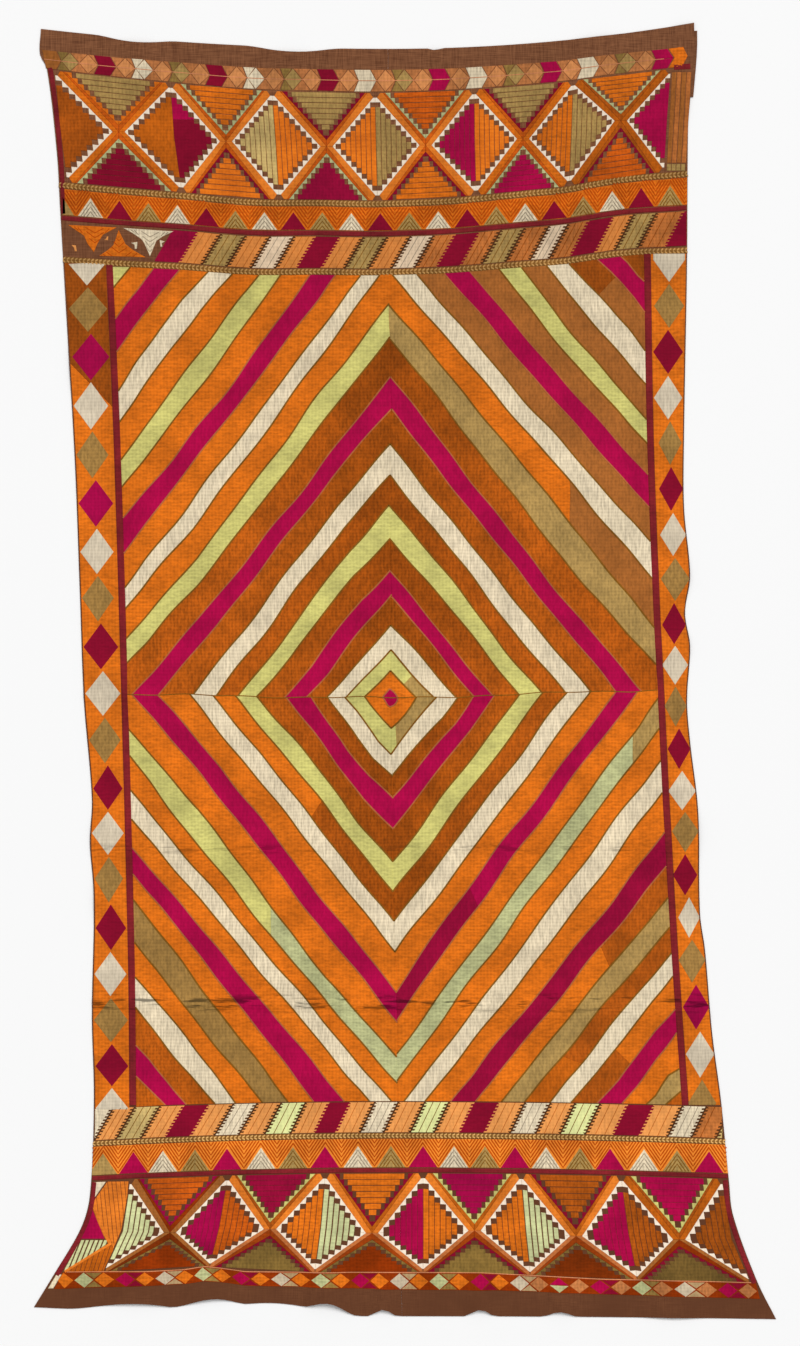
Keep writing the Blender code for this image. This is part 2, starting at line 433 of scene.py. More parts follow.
FLOSSES = {    # colour and grain, then where they differ: flecks, drift, fineness, deep_seam
    "orange": ((213, 108, 25), ACROSS, 0.13, 0.08),
    "orange_light": ((226, 122, 40), ACROSS, 0.1), "orange_deep": ((196, 88, 20), ACROSS),
    "orange_bright": ((234, 117, 30), ACROSS, 0.1),
    "rust": ((176, 86, 20), ALONG, 0.17, 0.09, 240.0, 0.34),
    "rust_plain": ((148, 73, 18), ALONG, 0.14), "rust_mid": ((168, 82, 20), ALONG, 0.14),
    "rust_bright": ((184, 92, 20), ALONG, 0.12), "russet": ((140, 50, 6), ACROSS, 0.1),
    "russet_dark": ((122, 47, 8), ACROSS, 0.1), "russet_light": ((157, 64, 14), ACROSS, 0.1),
    "tan": ((162, 97, 44), ALONG, 0.11, 0.06), "tan_light": ((182, 114, 66), ALONG),
    "bronze": ((184, 108, 53), ALONG), "copper": ((198, 114, 60), ACROSS, 0.1),
    "buff": ((204, 134, 80), ALONG, 0.1), "amber": ((230, 152, 82), ALONG, 0.08, 0.05),
    "honey": ((216, 133, 65), ALONG, 0.08, 0.06), "magenta": ((169, 11, 68), ALONG, 0.08, 0.07),
    "magenta_deep": ((158, 10, 67), ALONG, 0.07),
    "magenta_dark": ((147, 13, 54), ALONG, 0.08, 0.07),
    "crimson": ((134, 14, 43), ACROSS, 0.06, 0.06), "wine": ((126, 35, 40), ACROSS, 0.1),
    "lime": ((200, 193, 113), ACROSS, 0.10, 0.08), "lime_pale": ((202, 205, 150), ACROSS, 0.08),
    "lime_white": ((228, 230, 158), ALONG, 0.06, 0.04),
    "olive": ((168, 136, 79), ALONG, 0.13, 0.07), "olive_pale": ((196, 168, 106), ALONG, 0.1),
    "olive_brown": ((153, 117, 63), ALONG, 0.13, 0.07), "olive_deep": ((142, 112, 58), ALONG),
    "olive_dark": ((130, 102, 50), ALONG, 0.12), "olive_dim": ((109, 84, 41), ALONG, 0.12),
    "mint": ((180, 181, 130), ACROSS, 0.12, 0.08),
    "cream": ((221, 204, 173), STREAKS, 0.14, 0.05, 330.0),
    "cream_grey": ((210, 195, 170), STREAKS, 0.09, 0.06, 330.0),
    "ivory": ((222, 195, 163), ALONG, 0.08, 0.05), "oatmeal": ((194, 177, 150), ALONG, 0.09, 0.06),
    "dun": ((176, 146, 104), ALONG, 0.09, 0.06), "blush": ((250, 230, 208), ALONG, 0.05, 0.03),
    "cord": ((188, 142, 84), ALONG, 0.06), "cord_light": ((216, 168, 102), ALONG, 0.06),
    "cord_base": ((130, 88, 40), ALONG), "umber": ((84, 50, 26), ALONG),
    "line_tan": ((170, 98, 56), ALONG, 0.08), "line_olive": ((130, 86, 26), ALONG, 0.08),
    "line_grey": ((160, 144, 122), ALONG, 0.08), "line_rust": ((184, 74, 10), ALONG, 0.08),
    "line_amber": ((184, 104, 42), ALONG, 0.08), "line_pink": ((214, 140, 98), ALONG, 0.08),
    "tri_orange": ((242, 138, 48), ALONG, 0.06),
}
M = {"ground": khaddar("khaddar", EARTH, (112, 70, 46)),
     # the turned-under edge: khaddar in darker tones, painted shade of the cloth's underside
     "turned": khaddar("khaddar_turned", (82, 56, 40), (100, 70, 50)),
     **{name: floss(name, *row) for name, row in FLOSSES.items()}}

# ---------------------------------------------------------------- patches and ribbons


def place(name, data):
    """A new object in the scene."""
    item = bpy.data.objects.new(name, data)
    bpy.context.scene.collection.objects.link(item)
    return item


def cloth_piece(name, spots, faces, materials, slots, sharp_edge):
    """A smooth mesh that lies with the shawl, in one or more materials."""
    mesh = bpy.data.meshes.new(name)
    mesh.from_pydata(spots.tolist(), [], faces)
    mesh.polygons.foreach_set("material_index", slots)
    for material in materials:
        mesh.materials.append(M[material])
    plan_uv(mesh, spots)
    mesh.shade_smooth()
    mesh.set_sharp_from_angle(angle=sharp_edge)
    piece = place(name, mesh)
    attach(piece, "root")
    return piece


class Piece:
    """One object of the scene, filled with patches and ribbons given in counts."""

    def __init__(self, name):
        self.name = name
        self.points, self.lifts, self.faces, self.slots, self.used = [], [], [], [], []

    def add(self, points, lifts, faces, floss_name):
        if floss_name not in self.used:
            self.used.append(floss_name)
        first = len(self.points)
        self.points.extend(points)
        self.lifts.extend(lifts)
        self.faces.extend([tuple(first + k for k in face) for face in faces])
        self.slots.extend([self.used.index(floss_name)] * len(faces))

    def make(self):
        x, y = np.array(self.points, dtype=float).T
        x, y = wobble(x, y)
        z = height(x, y) + np.array(self.lifts)
        spots = np.stack([x * COUNT, y * COUNT, z], axis=1)
        piece = cloth_piece(self.name, spots, self.faces, self.used, self.slots, SHARP_EDGE)
        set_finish(piece, "floss")


def plan_uv(mesh, spots):
    """A map seen from above, so that the export keeps every patch apart."""
    low, high = spots.min(axis=0), spots.max(axis=0)
    size = np.maximum(high - low, 1e-6)
    corners = np.empty(len(mesh.loops), dtype=np.int32)
    mesh.loops.foreach_get("vertex_index", corners)
    flat = (0.01 + 0.98 * (spots - low) / size)[corners, :2]
    layer = mesh.uv_layers.new(name="OFBake")
    layer.data.foreach_set("uv", flat.ravel())


def in_crease(y):
    return any(low < y < high for low, high in CREASES)


def spaced(points, cell):
    """The closed outline with extra points, none further apart than a cell."""
    out = []
    for here, there in zip(points, [*points[1:], points[0]]):
        here, there = np.array(here, dtype=float), np.array(there, dtype=float)
        steps = max(1, ceil(np.linalg.norm(there - here) / cell))
        for k in range(steps):
            spot = here + (there - here) * k / steps
            out.append(spot)
            if in_crease(spot[1]) and np.linalg.norm(there - here) / steps > cell / 2:
                out.append(here + (there - here) * (k + 0.5) / steps)
    return np.array(out)


def counter_clockwise(points):
    x, y = points.T
    area = np.sum(x * np.roll(y, -1) - np.roll(x, -1) * y)
    return points if area > 0 else points[::-1]


def inset(points, depth):
    """The outline moved inwards."""
    ahead = np.roll(points, -1, axis=0) - points
    ahead = ahead / np.maximum(np.linalg.norm(ahead, axis=1, keepdims=True), 1e-9)
    behind = np.roll(ahead, 1, axis=0)
    normal_ahead = np.stack([-ahead[:, 1], ahead[:, 0]], axis=1)
    normal_behind = np.stack([-behind[:, 1], behind[:, 0]], axis=1)
    agree = np.maximum(1 + np.sum(normal_ahead * normal_behind, axis=1, keepdims=True), 0.5)
    return points + depth * (normal_ahead + normal_behind) / agree


def grid_inside(outline, cell):
    """Grid points inside the outline and clear of it."""
    low, high = outline.min(axis=0), outline.max(axis=0)
    across = np.arange(ceil(low[0] / cell), high[0] / cell) * cell
    along = np.arange(ceil(low[1] / cell), high[1] / cell) * cell
    along = np.array(sorted([*along, *[y + cell / 2 for y in along if in_crease(y + cell / 2)]]))
    if len(across) == 0 or len(along) == 0:
        return np.empty((0, 2))
    spots = np.array(np.meshgrid(across, along)).reshape(2, -1).T
    start, end = outline, np.roll(outline, -1, axis=0)
    px, py = spots[:, :1], spots[:, 1:]
    crosses = (start[:, 1] > py) != (end[:, 1] > py)
    rise = np.where(end[:, 1] == start[:, 1], 1e-12, end[:, 1] - start[:, 1])
    at_x = start[:, 0] + (py - start[:, 1]) / rise * (end[:, 0] - start[:, 0])
    inside = np.sum(crosses & (px < at_x), axis=1) % 2 == 1
    gap = np.sqrt((px - start[:, 0]) ** 2 + (py - start[:, 1]) ** 2).min(axis=1)
    return spots[inside & (gap > cell * 0.55)]


def patch(piece, outline, floss_name, top=FLOSS, rim=SUNK, bevel=0.35, cell=CELL):
    """A filled area of darning with a bevelled rim."""
    outer = counter_clockwise(spaced(outline, cell))
    inner = inset(outer, bevel)
    spots = np.concatenate([outer, inner, grid_inside(inner, cell)])
    n = len(outer)
    loop = [(k, (k + 1) % n) for k in range(n)]
    edges = loop + [(a + n, b + n) for a, b in loop]
    result = delaunay_2d_cdt([Vector(spot) for spot in spots], edges, [], 1, 1e-5)
    points, faces, origins = result[0], result[2], result[3]
    lifts = [rim if any(k < n for k in origin) else top for origin in origins]
    piece.add([tuple(point) for point in points], lifts, faces, floss_name)


def along_path(path, step):
    """Points no further apart than a step on an open path, and its left-hand normals."""
    out = []
    for here, there in zip(path, path[1:]):
        here, there = np.array(here, dtype=float), np.array(there, dtype=float)
        steps = max(1, ceil(np.linalg.norm(there - here) / step))
        out.extend(here + (there - here) * k / steps for k in range(steps))
    out = np.array([*out, np.array(path[-1], dtype=float)])
    ahead = np.gradient(out, axis=0)
    ahead = ahead / np.maximum(np.linalg.norm(ahead, axis=1, keepdims=True), 1e-9)
    return out, np.stack([-ahead[:, 1], ahead[:, 0]], axis=1)


def ribbon(piece, path, width, floss_name, top, rim=SUNK, step=4.0):
    """A narrow line of stitches with an arched top."""
    middle, normal = along_path(path, step)
    points = [tuple(spot + side * width * share) for spot, side in zip(middle, normal)
              for share in (-0.5, -0.32, 0.32, 0.5)]
    corners = [row * 4 + k for row in range(len(middle) - 1) for k in range(3)]
    faces = [(a, a + 4, a + 5, a + 1) for a in corners]
    piece.add(points, [rim, top, top, rim] * len(middle), faces, floss_name)


def stitches(piece, path, offset, length, width, lean, pitch, floss_name):
    """A row of short slanted stitches beside a path. lean is how far each one leans along it."""
    middle, normal = along_path(path, pitch)
    ahead = np.stack([normal[:, 1], -normal[:, 0]], axis=1)
    lifts = [STITCH - 0.3 * MM] * 4 + [STITCH + 0.2 * MM]
    faces = [(0, 4, 1), (1, 4, 2), (2, 4, 3), (3, 4, 0)]
    for spot, side, on in zip(middle, normal, ahead):
        centre = spot + side * offset
        half = side * length / 2 + on * lean / 2
        broad = on * width / 2
        points = [centre - half, centre - broad, centre + half, centre + broad, centre]
        piece.add([tuple(point) for point in points], lifts, faces, floss_name)


def lerp(a, b, share):
    return (a[0] + (b[0] - a[0]) * share, a[1] + (b[1] - a[1]) * share)


def clipped(outline, heading, low, high):
    """The part of a polygon between two parallel lines across a heading."""
    turn = radians(heading)
    for sign, limit in ((1, low), (-1, -high)):
        kept = []
        for here, there in zip(outline, [*outline[1:], outline[0]]):
            a = sign * (here[0] * cos(turn) + here[1] * sin(turn)) - limit
            b = sign * (there[0] * cos(turn) + there[1] * sin(turn)) - limit
            if a >= 0:
                kept.append(here)
            if (a > 0 > b) or (a < 0 < b):
                kept.append(lerp(here, there, a / (a - b)))
        outline = kept
    return outline


def sliced(piece, outline, heading, pitch, floss_name, gap=0.25):
    """A polygon worked in bars that follow each other along a heading, in degrees."""
    turn = radians(heading)
    reach = [x * cos(turn) + y * sin(turn) for x, y in outline]
    count = max(1, round((max(reach) - min(reach)) / pitch))
    step = (max(reach) - min(reach)) / count
    for k in range(count):
        low = min(reach) + k * step
        bar = clipped(outline, heading, low + gap, low + step - gap)
        if len(bar) > 2:
            patch(piece, bar, floss_name)


def line_points(line, start, end, step=8.0):
    """Points on a line across the cloth, from one position to another."""
    across = np.linspace(start, end, max(2, ceil(abs(end - start) / step)))
    return [(x, y_on(line, x)) for x in across]


ORIGIN = (405, 671)       # pixel of the photo at the origin of the counts


def x_of(px):
    return px - ORIGIN[0]


def photo(px, py):
    """Counts of a place measured on the photograph."""
    return (x_of(px), ORIGIN[1] - py)


def photos(*places):
    return [photo(*place) for place in places]


# ---------------------------------------------------------------- ground cloth

SHELL_COLUMNS = 54
SHELL_ROW = 6.0           # counts from row to row
CREASE_ROW = 2.5          # and where the cloth is sharply folded
HALF_MAP, OTHER_HALF = 0.495, 0.505      # the face takes one half of the map, the back the other
SHELL_SHARP = radians(40)
LINE_ORDER = [
    HEAD_EDGE, PLAIN_HEAD, CHEVRON_FOOT, Line(572, 552, 571), Line(546, 526, 543),
    Line(486, 468, 497), Line(453, 438, 463), Line(412, 401, 421), Line(300, 296, 306),
    *[Line(y, y, y) for y in (-6, -44, -148, -208, -318, -360)], Line(-437, -430, -433),
    Line(-471, -463, -469), Line(-507, -499, -505), FOOT_DIAMOND_FOOT, PLAIN_FOOT, FOOT_EDGE,
]


def shell_lines():
    lines = []
    for upper, lower in zip(LINE_ORDER, LINE_ORDER[1:]):
        pitch = CREASE_ROW if in_crease((upper.seam + lower.seam) / 2) else SHELL_ROW
        rows = max(1, ceil((upper.seam - lower.seam) / pitch))
        lines.extend(between(upper, lower, row / rows) for row in range(rows))
    return [*lines, LINE_ORDER[-1]]


def ground_panel(name, node_name, edge, side, seam_shift):
    """One loom width of khaddar, closed, with the folds of the solid that it replaces."""
    lines = shell_lines()
    share = np.linspace(0.0, 1.0, SHELL_COLUMNS + 1)
    xs, ys = [], []
    for line in lines:
        edge_y = getattr(line, side)
        outer, seam = edge_x(edge, edge_y), edge_x(SEAM, line.seam)
        x = outer + (seam - outer) * share
        y = line.seam + (edge_y - line.seam) * (1 - share) ** 2
        xs.append(x)
        ys.append(y + end_wave(line, x))
    x, y = np.array(xs).ravel(), np.array(ys).ravel()
    shift = np.tile(np.where(share == 1.0, seam_shift, 0.0), len(lines))
    under = np.stack([x * COUNT + shift, y * COUNT, height(x, y)], axis=1)
    spots = np.concatenate([under, under + np.array([0, 0, KHADDAR])])
    columns, rows, total = SHELL_COLUMNS + 1, len(lines), len(x)
    faces = []
    for row in range(rows - 1):
        for a in range(row * columns, row * columns + columns - 1):
            faces.append((a, a + 1, a + 1 + columns, a + columns))
            faces.append((a + total, a + total + columns, a + total + columns + 1, a + total + 1))
    rim = [*range(columns), *[row * columns + columns - 1 for row in range(1, rows)]]
    rim += [(rows - 1) * columns + k for k in range(columns - 2, -1, -1)]
    rim += [row * columns for row in range(rows - 2, 0, -1)]
    faces += [(b, a, a + total, b + total) for a, b in zip(rim, [*rim[1:], rim[0]])]
    if side == "right":
        faces = [face[::-1] for face in faces]
    piece = cloth_piece(name, spots, faces, ["ground"], [0] * len(faces), SHELL_SHARP)
    layer = piece.data.uv_layers["OFBake"]
    for face in piece.data.polygons:
        beneath = all(k < total for k in face.vertices)
        for k in face.loop_indices:
            start = OTHER_HALF if beneath else 0.0
            layer.data[k].uv[0] = layer.data[k].uv[0] * HALF_MAP + start
    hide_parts(node_name)
    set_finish(piece, "khaddar")
    return piece


# ---------------------------------------------------------------- the field of rings

CENTRE = (-14, -27)
REACH_UP = 428            # from the centre to the head band, along the seam
REACH_DOWN = 403
REACH_LEFT = 264          # from the centre to the side lines
REACH_RIGHT = 267.5

# A ring's floss and the distances of its outer edge from the centre, along the seam and across
# to the side. bow is how far the middle of that edge bulges outwards, sway how far it swings
# outwards near the seam and inwards near the side, split where on it another floss takes over.
Ring = namedtuple("Ring", "floss end side bow sway split floss_after", defaults=(0, 0, None, None))
Quarter = namedtuple("Quarter", "name across along reach_end reach_side rings")
RINGS_UP_LEFT = [Ring(*row) for row in (
    ("magenta", 9, 7.3), ("orange", 27, 25, -1), ("lime", 48, 44.5, -1), ("cream", 73, 65, -1.5),
    ("rust", 104, 85, -1, 1), ("magenta", 128.5, 107, 2, 2), ("rust", 160, 134, 2.5, 2),
    ("lime", 192.5, 152.5, 2.5, 2), ("rust", 222, 174.5, 3, 1.5), ("cream", 253, 198, 2, 1.5),
    ("rust", 288.5, 233, -0.5, 2), ("magenta", 322, 259, -4, 0.7), ("rust", 362.5, 299, -4.5, 2),
    ("lime", 395.5, 323.5, -3.5, 2.5), ("orange", 438.5, 353.5, -4.5, 1),
    ("cream", 457.5, 374.5, -1.5), ("orange", 482.5, 408.5, -1.5, -1), ("magenta", 508, 444, -5),
    ("orange", 537.5, 475, -2.5), ("lime", 559, 502, 2, 0.5), ("orange", 585.5, 540, 4, 0.8),
    ("cream", 610, 571, 4.5, 0.6), ("orange", 638, 610, 1, 0.5), ("magenta", 664.5, 643),
    ("orange", 687.5, 674.5), ("lime", 900, 900),
)]
RINGS_UP_RIGHT = [Ring(*row) for row in (
    ("magenta", 9, 8, 1), ("orange", 27, 25), ("lime", 48, 42, -1.5, 0, 0.54, "olive"),
    ("cream", 73, 64), ("rust", 101.5, 81.5), ("magenta", 127.5, 101, -0.7), ("rust", 159, 128, 2),
    ("lime", 192.5, 151, 1, 1.3), ("rust", 222, 174, 0, 1.4), ("cream", 253, 199, -1, 0.8),
    ("rust", 288.5, 224, -1.5), ("magenta", 322, 251, -4, 1), ("rust", 360, 301, -4, 1.9),
    ("olive", 394, 338, 1.5), ("orange", 430.5, 387, 0, 0, 0.68, "tan"), ("cream", 455, 424, -2.5),
    ("tan", 482, 458, -1.5), ("magenta", 508, 491, -1.5), ("tan", 537, 522, -2.5),
    ("lime", 559.5, 546, -2), ("tan", 584.5, 581, -1.5), ("cream", 607, 614.5, 2, -0.8),
    ("rust_plain", 635, 653, 2.5, 0, 0.36, "tan"), ("magenta", 659, 684, 0, 0.7),
    ("rust_plain", 900, 900),
)]
RINGS_DOWN_LEFT = [Ring(*row) for row in (
    ("magenta", 9.5, 7.3, 0.5, 0.5), ("orange", 30, 25.5, 1.5), ("lime", 56, 46, 2, 1.3),
    ("cream", 77.5, 64, 4, 1.4), ("rust", 99.5, 80.5, 5.5, 0.6), ("magenta", 131, 105, 3.5, 1.3),
    ("rust", 164.5, 133.5, -1, 1.4), ("lime", 195, 155, -1.5),
    ("rust", 224, 178, -1, 0.6, 0.46, "orange"), ("cream", 254, 202, -1),
    ("orange", 293.5, 233.5, -2, 2), ("magenta", 323, 259, -1.5, 2), ("orange", 358, 295.5, 1, 4.5),
    ("mint", 385, 321.5, 4, 0, 0.46, "lime"), ("orange", 409.5, 356, 0.5), ("cream", 431.5, 385),
    ("orange", 456.5, 413.5, -0.5), ("magenta", 487.5, 440, -1), ("orange", 513, 465.5, -0.5),
    ("olive_brown", 538.5, 508), ("orange", 565.5, 543, -3.5), ("cream", 586, 573, 1.5),
    ("rust", 614.5, 611, -0.5, 0.7), ("magenta", 635.5, 642), ("rust", 900, 900),
)]
RINGS_DOWN_RIGHT = [Ring(*row) for row in (
    ("magenta", 9, 8, 2), ("orange", 30, 26, 2), ("lime", 55.5, 45, -1, 0, 0.14, "olive"),
    ("cream", 76, 65.5, 2, -0.9), ("rust", 98, 81, 3, -1), ("magenta", 130.5, 103, 1.5, -0.9),
    ("rust", 164, 129), ("lime", 194.5, 152.5), ("rust", 224, 176), ("cream", 254, 199, 0.5),
    ("orange", 292.5, 224.5, -2.5, -1.5), ("magenta_dark", 320.5, 247, -2, 0, 0.34, "magenta"),
    ("orange", 354.5, 268, -0.5), ("mint", 382.5, 298, -1, 0, 0.9, "olive"),
    ("orange", 409, 330, 1, 0.9), ("cream", 430, 362, 3.5), ("orange", 455.5, 401.5, 2, -0.6),
    ("magenta_dark", 480.5, 435.5), ("orange", 506.5, 467, -2, 0, 0.66, "rust_mid"),
    ("olive", 529.5, 496.5, -1.3), ("rust_bright", 555, 522.5, -1.4, 0, 0.26, "rust_mid"),
    ("cream", 576, 545.5, 1.5), ("rust_mid", 602, 578.5, 1, 1.4, 0.42, "orange"),
    ("magenta", 627, 602, 2), ("orange", 651.5, 638, -1.5, 2), ("olive", 670.5, 660.5),
    ("rust", 900, 900),
)]
QUARTERS = [
    Quarter("field_up_left", -1, 1, REACH_UP, REACH_LEFT, RINGS_UP_LEFT),
    Quarter("field_up_right", 1, 1, REACH_UP, REACH_RIGHT, RINGS_UP_RIGHT),
    Quarter("field_down_left", -1, -1, REACH_DOWN, REACH_LEFT, RINGS_DOWN_LEFT),
    Quarter("field_down_right", 1, -1, REACH_DOWN, REACH_RIGHT, RINGS_DOWN_RIGHT),
]
MIDDLE_LEFT_Y = -23.5
MIDDLE_RIGHT_Y = -19
HALF_LINE = 3.2           # from the middle of a side line to the field
LAST_RING = 800           # a distance beyond this one marks the corner that ends a quarter


def side_line_x(quarter, y):
    """Inner side of the wine line that bounds this quarter of the field."""
    edge = LEFT_LINE if quarter.across < 0 else RIGHT_LINE
    return x_on(edge, y) - quarter.across * HALF_LINE


def band_y(quarter, x):
    """The end of the field towards this quarter's band."""
    return y_on(BRAID_FOOT if quarter.along > 0 else FOOT_TOP, x)


def middle_y(quarter, x):
    """The fold across the middle, where the two halves of the rings meet."""
    share = abs(x - CENTRE[0]) / quarter.reach_side
    end = MIDDLE_LEFT_Y if quarter.across < 0 else MIDDLE_RIGHT_Y
    return CENTRE[1] + (end - CENTRE[1]) * share


def end_spot(quarter, distance):
    """Where a ring's edge meets the seam, or the band beyond it."""
    within = min(distance, quarter.reach_end)
    y = CENTRE[1] + quarter.along * within
    x = x_on(SEAM, y) + quarter.across * (distance - within)
    return (x, y if distance <= quarter.reach_end else band_y(quarter, x))


def side_spot(quarter, distance):
    """Where a ring's edge meets the middle line, or the side line beyond it."""
    if distance <= quarter.reach_side:
        x = CENTRE[0] + quarter.across * distance
        return (x, middle_y(quarter, x))
    y = CENTRE[1] + quarter.along * (distance - quarter.reach_side)
    return (side_line_x(quarter, y), y)


def edge_path(quarter, strip, start=0.0, stop=1.0):
    """Points on the outer edge of a ring, between two shares of its length."""
    first, last = end_spot(quarter, strip.end), side_spot(quarter, strip.side)
    ahead = np.subtract(last, first)
    length = np.linalg.norm(ahead)
    if length < 0.001:
        return [first]
    outward = np.array([quarter.across * abs(ahead[1]), quarter.along * abs(ahead[0])]) / length
    shares = [start, *[share for share in (0.25, 0.5, 0.75) if start < share < stop], stop]
    bulge = [strip.bow * 4 * share * (1 - share) + strip.sway * sin(2 * pi * share)
             for share in shares]
    return [tuple(np.array(lerp(first, last, share)) + outward * out)
            for share, out in zip(shares, bulge)]


def ring_outline(quarter, inner, outer, start=0.0, stop=1.0):
    """Corners of the strip between two edges, between two shares of their length."""
    inside = edge_path(quarter, inner, start, stop)
    corners = [inside[0]]
    if start == 0.0 and inner.end < quarter.reach_end < outer.end:
        corners.append(end_spot(quarter, quarter.reach_end))
    if outer.end > LAST_RING:
        y = band_y(quarter, quarter.across * 280)
        corners.append((side_line_x(quarter, y), y))
    else:
        corners += edge_path(quarter, outer, start, stop)
    if stop == 1.0 and inner.side < quarter.reach_side < outer.side:
        corners.append(side_spot(quarter, quarter.reach_side))
    return [*corners, *inside[:0:-1]]


def field_quarter(quarter):
    piece = Piece(quarter.name)
    inner = Ring("", 0, 0)
    for strip in quarter.rings:
        change = strip.split or 1.0
        patch(piece, ring_outline(quarter, inner, strip, 0.0, change), strip.floss, rim=CLOSED)
        if strip.split:
            rest = ring_outline(quarter, inner, strip, change, 1.0)
            patch(piece, rest, strip.floss_after, rim=CLOSED)
        inner = strip
    piece.make()


def ring_outlines():
    """The stitched line between two flosses: tan beside magenta, olive elsewhere."""
    piece = Piece("field_outlines")
    for quarter in QUARTERS:
        for strip, following in zip(quarter.rings, quarter.rings[1:]):
            beside_magenta = "magenta" in strip.floss + following.floss
            colour, width = ("line_tan", 1.9) if beside_magenta else ("line_olive", 2.2)
            ribbon(piece, edge_path(quarter, strip), width, colour, top=MOTIF)
    piece.make()


def middle_line():
    """A fine line of stitches along the fold across the middle."""
    piece = Piece("middle_line")
    for quarter in QUARTERS[:2]:
        across = np.linspace(CENTRE[0], side_line_x(quarter, -21), 60)
        path = [(x, middle_y(quarter, x)) for x in across]
        ribbon(piece, path, 1.1, "line_olive", top=2.62 * MM)
    piece.make()


# ---------------------------------------------------------------- side borders

LEFT_MOTIFS = [
    (87, 264), (88, 309), (91, 357), (91, 406), (92.5, 455), (96, 503.5), (97, 552), (98, 598),
    (101, 647), (103, 693.5), (105, 740), (108, 788.5), (108, 833), (109, 878.5), (111, 928),
    (110.5, 974), (111, 1020), (112, 1066), (112, 1108),
]
RIGHT_MOTIFS = [
    (669, 260), (669, 306), (668, 352), (668, 398), (670, 443), (671, 489), (673, 535), (675, 579),
    (674, 625), (675, 665), (675.5, 706), (679, 749), (682, 791), (685, 831), (685, 875),
    (689, 917.5), (692, 960), (696, 1007), (700, 1054), (702, 1103),
]
Border = namedtuple("Border", "name edge line away floss changes spares magenta motifs")
# changes: where orange takes over from the first floss, at the outer and the inner side; spares:
# room beside a motif above and below WIDE_BELOW; magenta: the red motifs are magenta where away
# times their height is below it, and crimson elsewhere.
BORDERS = [
    Border("border_left", LEFT_EDGE, LEFT_LINE, -1, "rust_plain", (314, 276), (0.5, 0.5), -71,
           LEFT_MOTIFS),
    Border("border_right", RIGHT_EDGE, RIGHT_LINE, 1, "orange", (314, 314), (0.9, -0.9), -329,
           RIGHT_MOTIFS),
]
BORDER_STEP = 46          # counts from the end motifs to where the next ones would be
BORDER_SHARE = 0.485      # how far a motif reaches towards the next one
BORDER_HEAD = 400         # the height at which its upper and lower ends are measured
SELVEDGE_ROOM, LINE_ROOM = 1.2, 3.6      # beside its ground
WIDE_BELOW = 200          # the motifs of the right border are wider below this height


def border_walls(border, y):
    """Outer and inner side of a border at height y."""
    return (x_on(border.edge, y) - border.away * SELVEDGE_ROOM,
            x_on(border.line, y) + border.away * LINE_ROOM)


def side_border(border):
    """The side border: cream, olive and red diamonds take turns on orange."""
    ground = Piece(border.name + "_ground")
    outer_x = x_on(border.edge, BORDER_HEAD)
    top, foot = y_on(BRAID_FOOT, outer_x), y_on(FOOT_TOP, outer_x)
    along = [top + (foot - top) * share for share in np.linspace(0, 1, 60)]
    outer, inner = zip(*[[(x, y) for x in border_walls(border, y)] for y in along])
    change, within = [sum(y >= limit for y in along) for limit in border.changes]
    patch(ground, outer[:change + 1] + inner[:within + 1][::-1], border.floss)
    patch(ground, outer[change:] + inner[within:][::-1], "orange")
    ground.make()
    piece = Piece(border.name + "_motifs")
    spots = photos(*border.motifs)
    for k, (x, y) in enumerate(spots):
        before = spots[k - 1][1] if k else y + BORDER_STEP
        after = spots[k + 1][1] if k + 1 < len(spots) else y - BORDER_STEP
        up, down = (before - y) * BORDER_SHARE, (y - after) * BORDER_SHARE
        walls = border_walls(border, y)
        half = min(abs(wall - x) for wall in walls) - border.spares[y <= WIDE_BELOW]
        shape = [(x, min(y + up, top)), (x + half, y), (x, max(y - down, foot)), (x - half, y)]
        if k == 0 and y + up > top:
            narrow = 1 - (y + up - top) / up if border.away < 0 else 1.0
            shape = [(x - half * narrow, top), (x + half * narrow, top),
                     (x + half, y), (x, y - down), (x - half, y)]
        if k + 1 == len(spots):
            part = max(0.0, (foot - y + down) / down)
            shape = [(x, y + up), (x + half, y), (x + half * part, foot),
                     (x - half * part, foot), (x - half, y)]
            shape = [(px, max(py, foot)) for px, py in shape]
        red = "magenta_deep" if border.away * y < border.magenta else "crimson"
        shape = clipped(shape, 0, min(walls), max(walls))
        patch(piece, shape, ("cream_grey", "olive_brown", red)[k % 3], top=MOTIF, rim=ON_FLOSS)
    piece.make()


# ---------------------------------------------------------------- lines of cord and braid


def side_path(edge, top, foot, inward, count):
    """Points down one edge, moved across by so much."""
    return [(x_on(edge, y) + inward, y) for y in np.linspace(top, foot, count)]


def row_path(upper, lower):
    """Points along the middle of a row, from edge to edge."""
    line = between(upper, lower, 0.5)
    return line_points(line, x_on(LEFT_EDGE, line.left) + 1, x_on(RIGHT_EDGE, line.right) - 1)


LINE_TOP = 2.6 * MM
WHOLE_LINES = [(LEFT_LINE, 406), (RIGHT_LINE, 417)]    # and their upper ends
LINES_FOOT = -434
LINE_WIDTH, EDGE_LINE_WIDTH = 7.0, 5.0
# edge, upper end, lower end and how far inward
EDGE_LINES = [(LEFT_EDGE, 603, 457, 3.4), (LEFT_EDGE, -511, -604, 3.4),
              (RIGHT_EDGE, -509, -612, -3.6)]


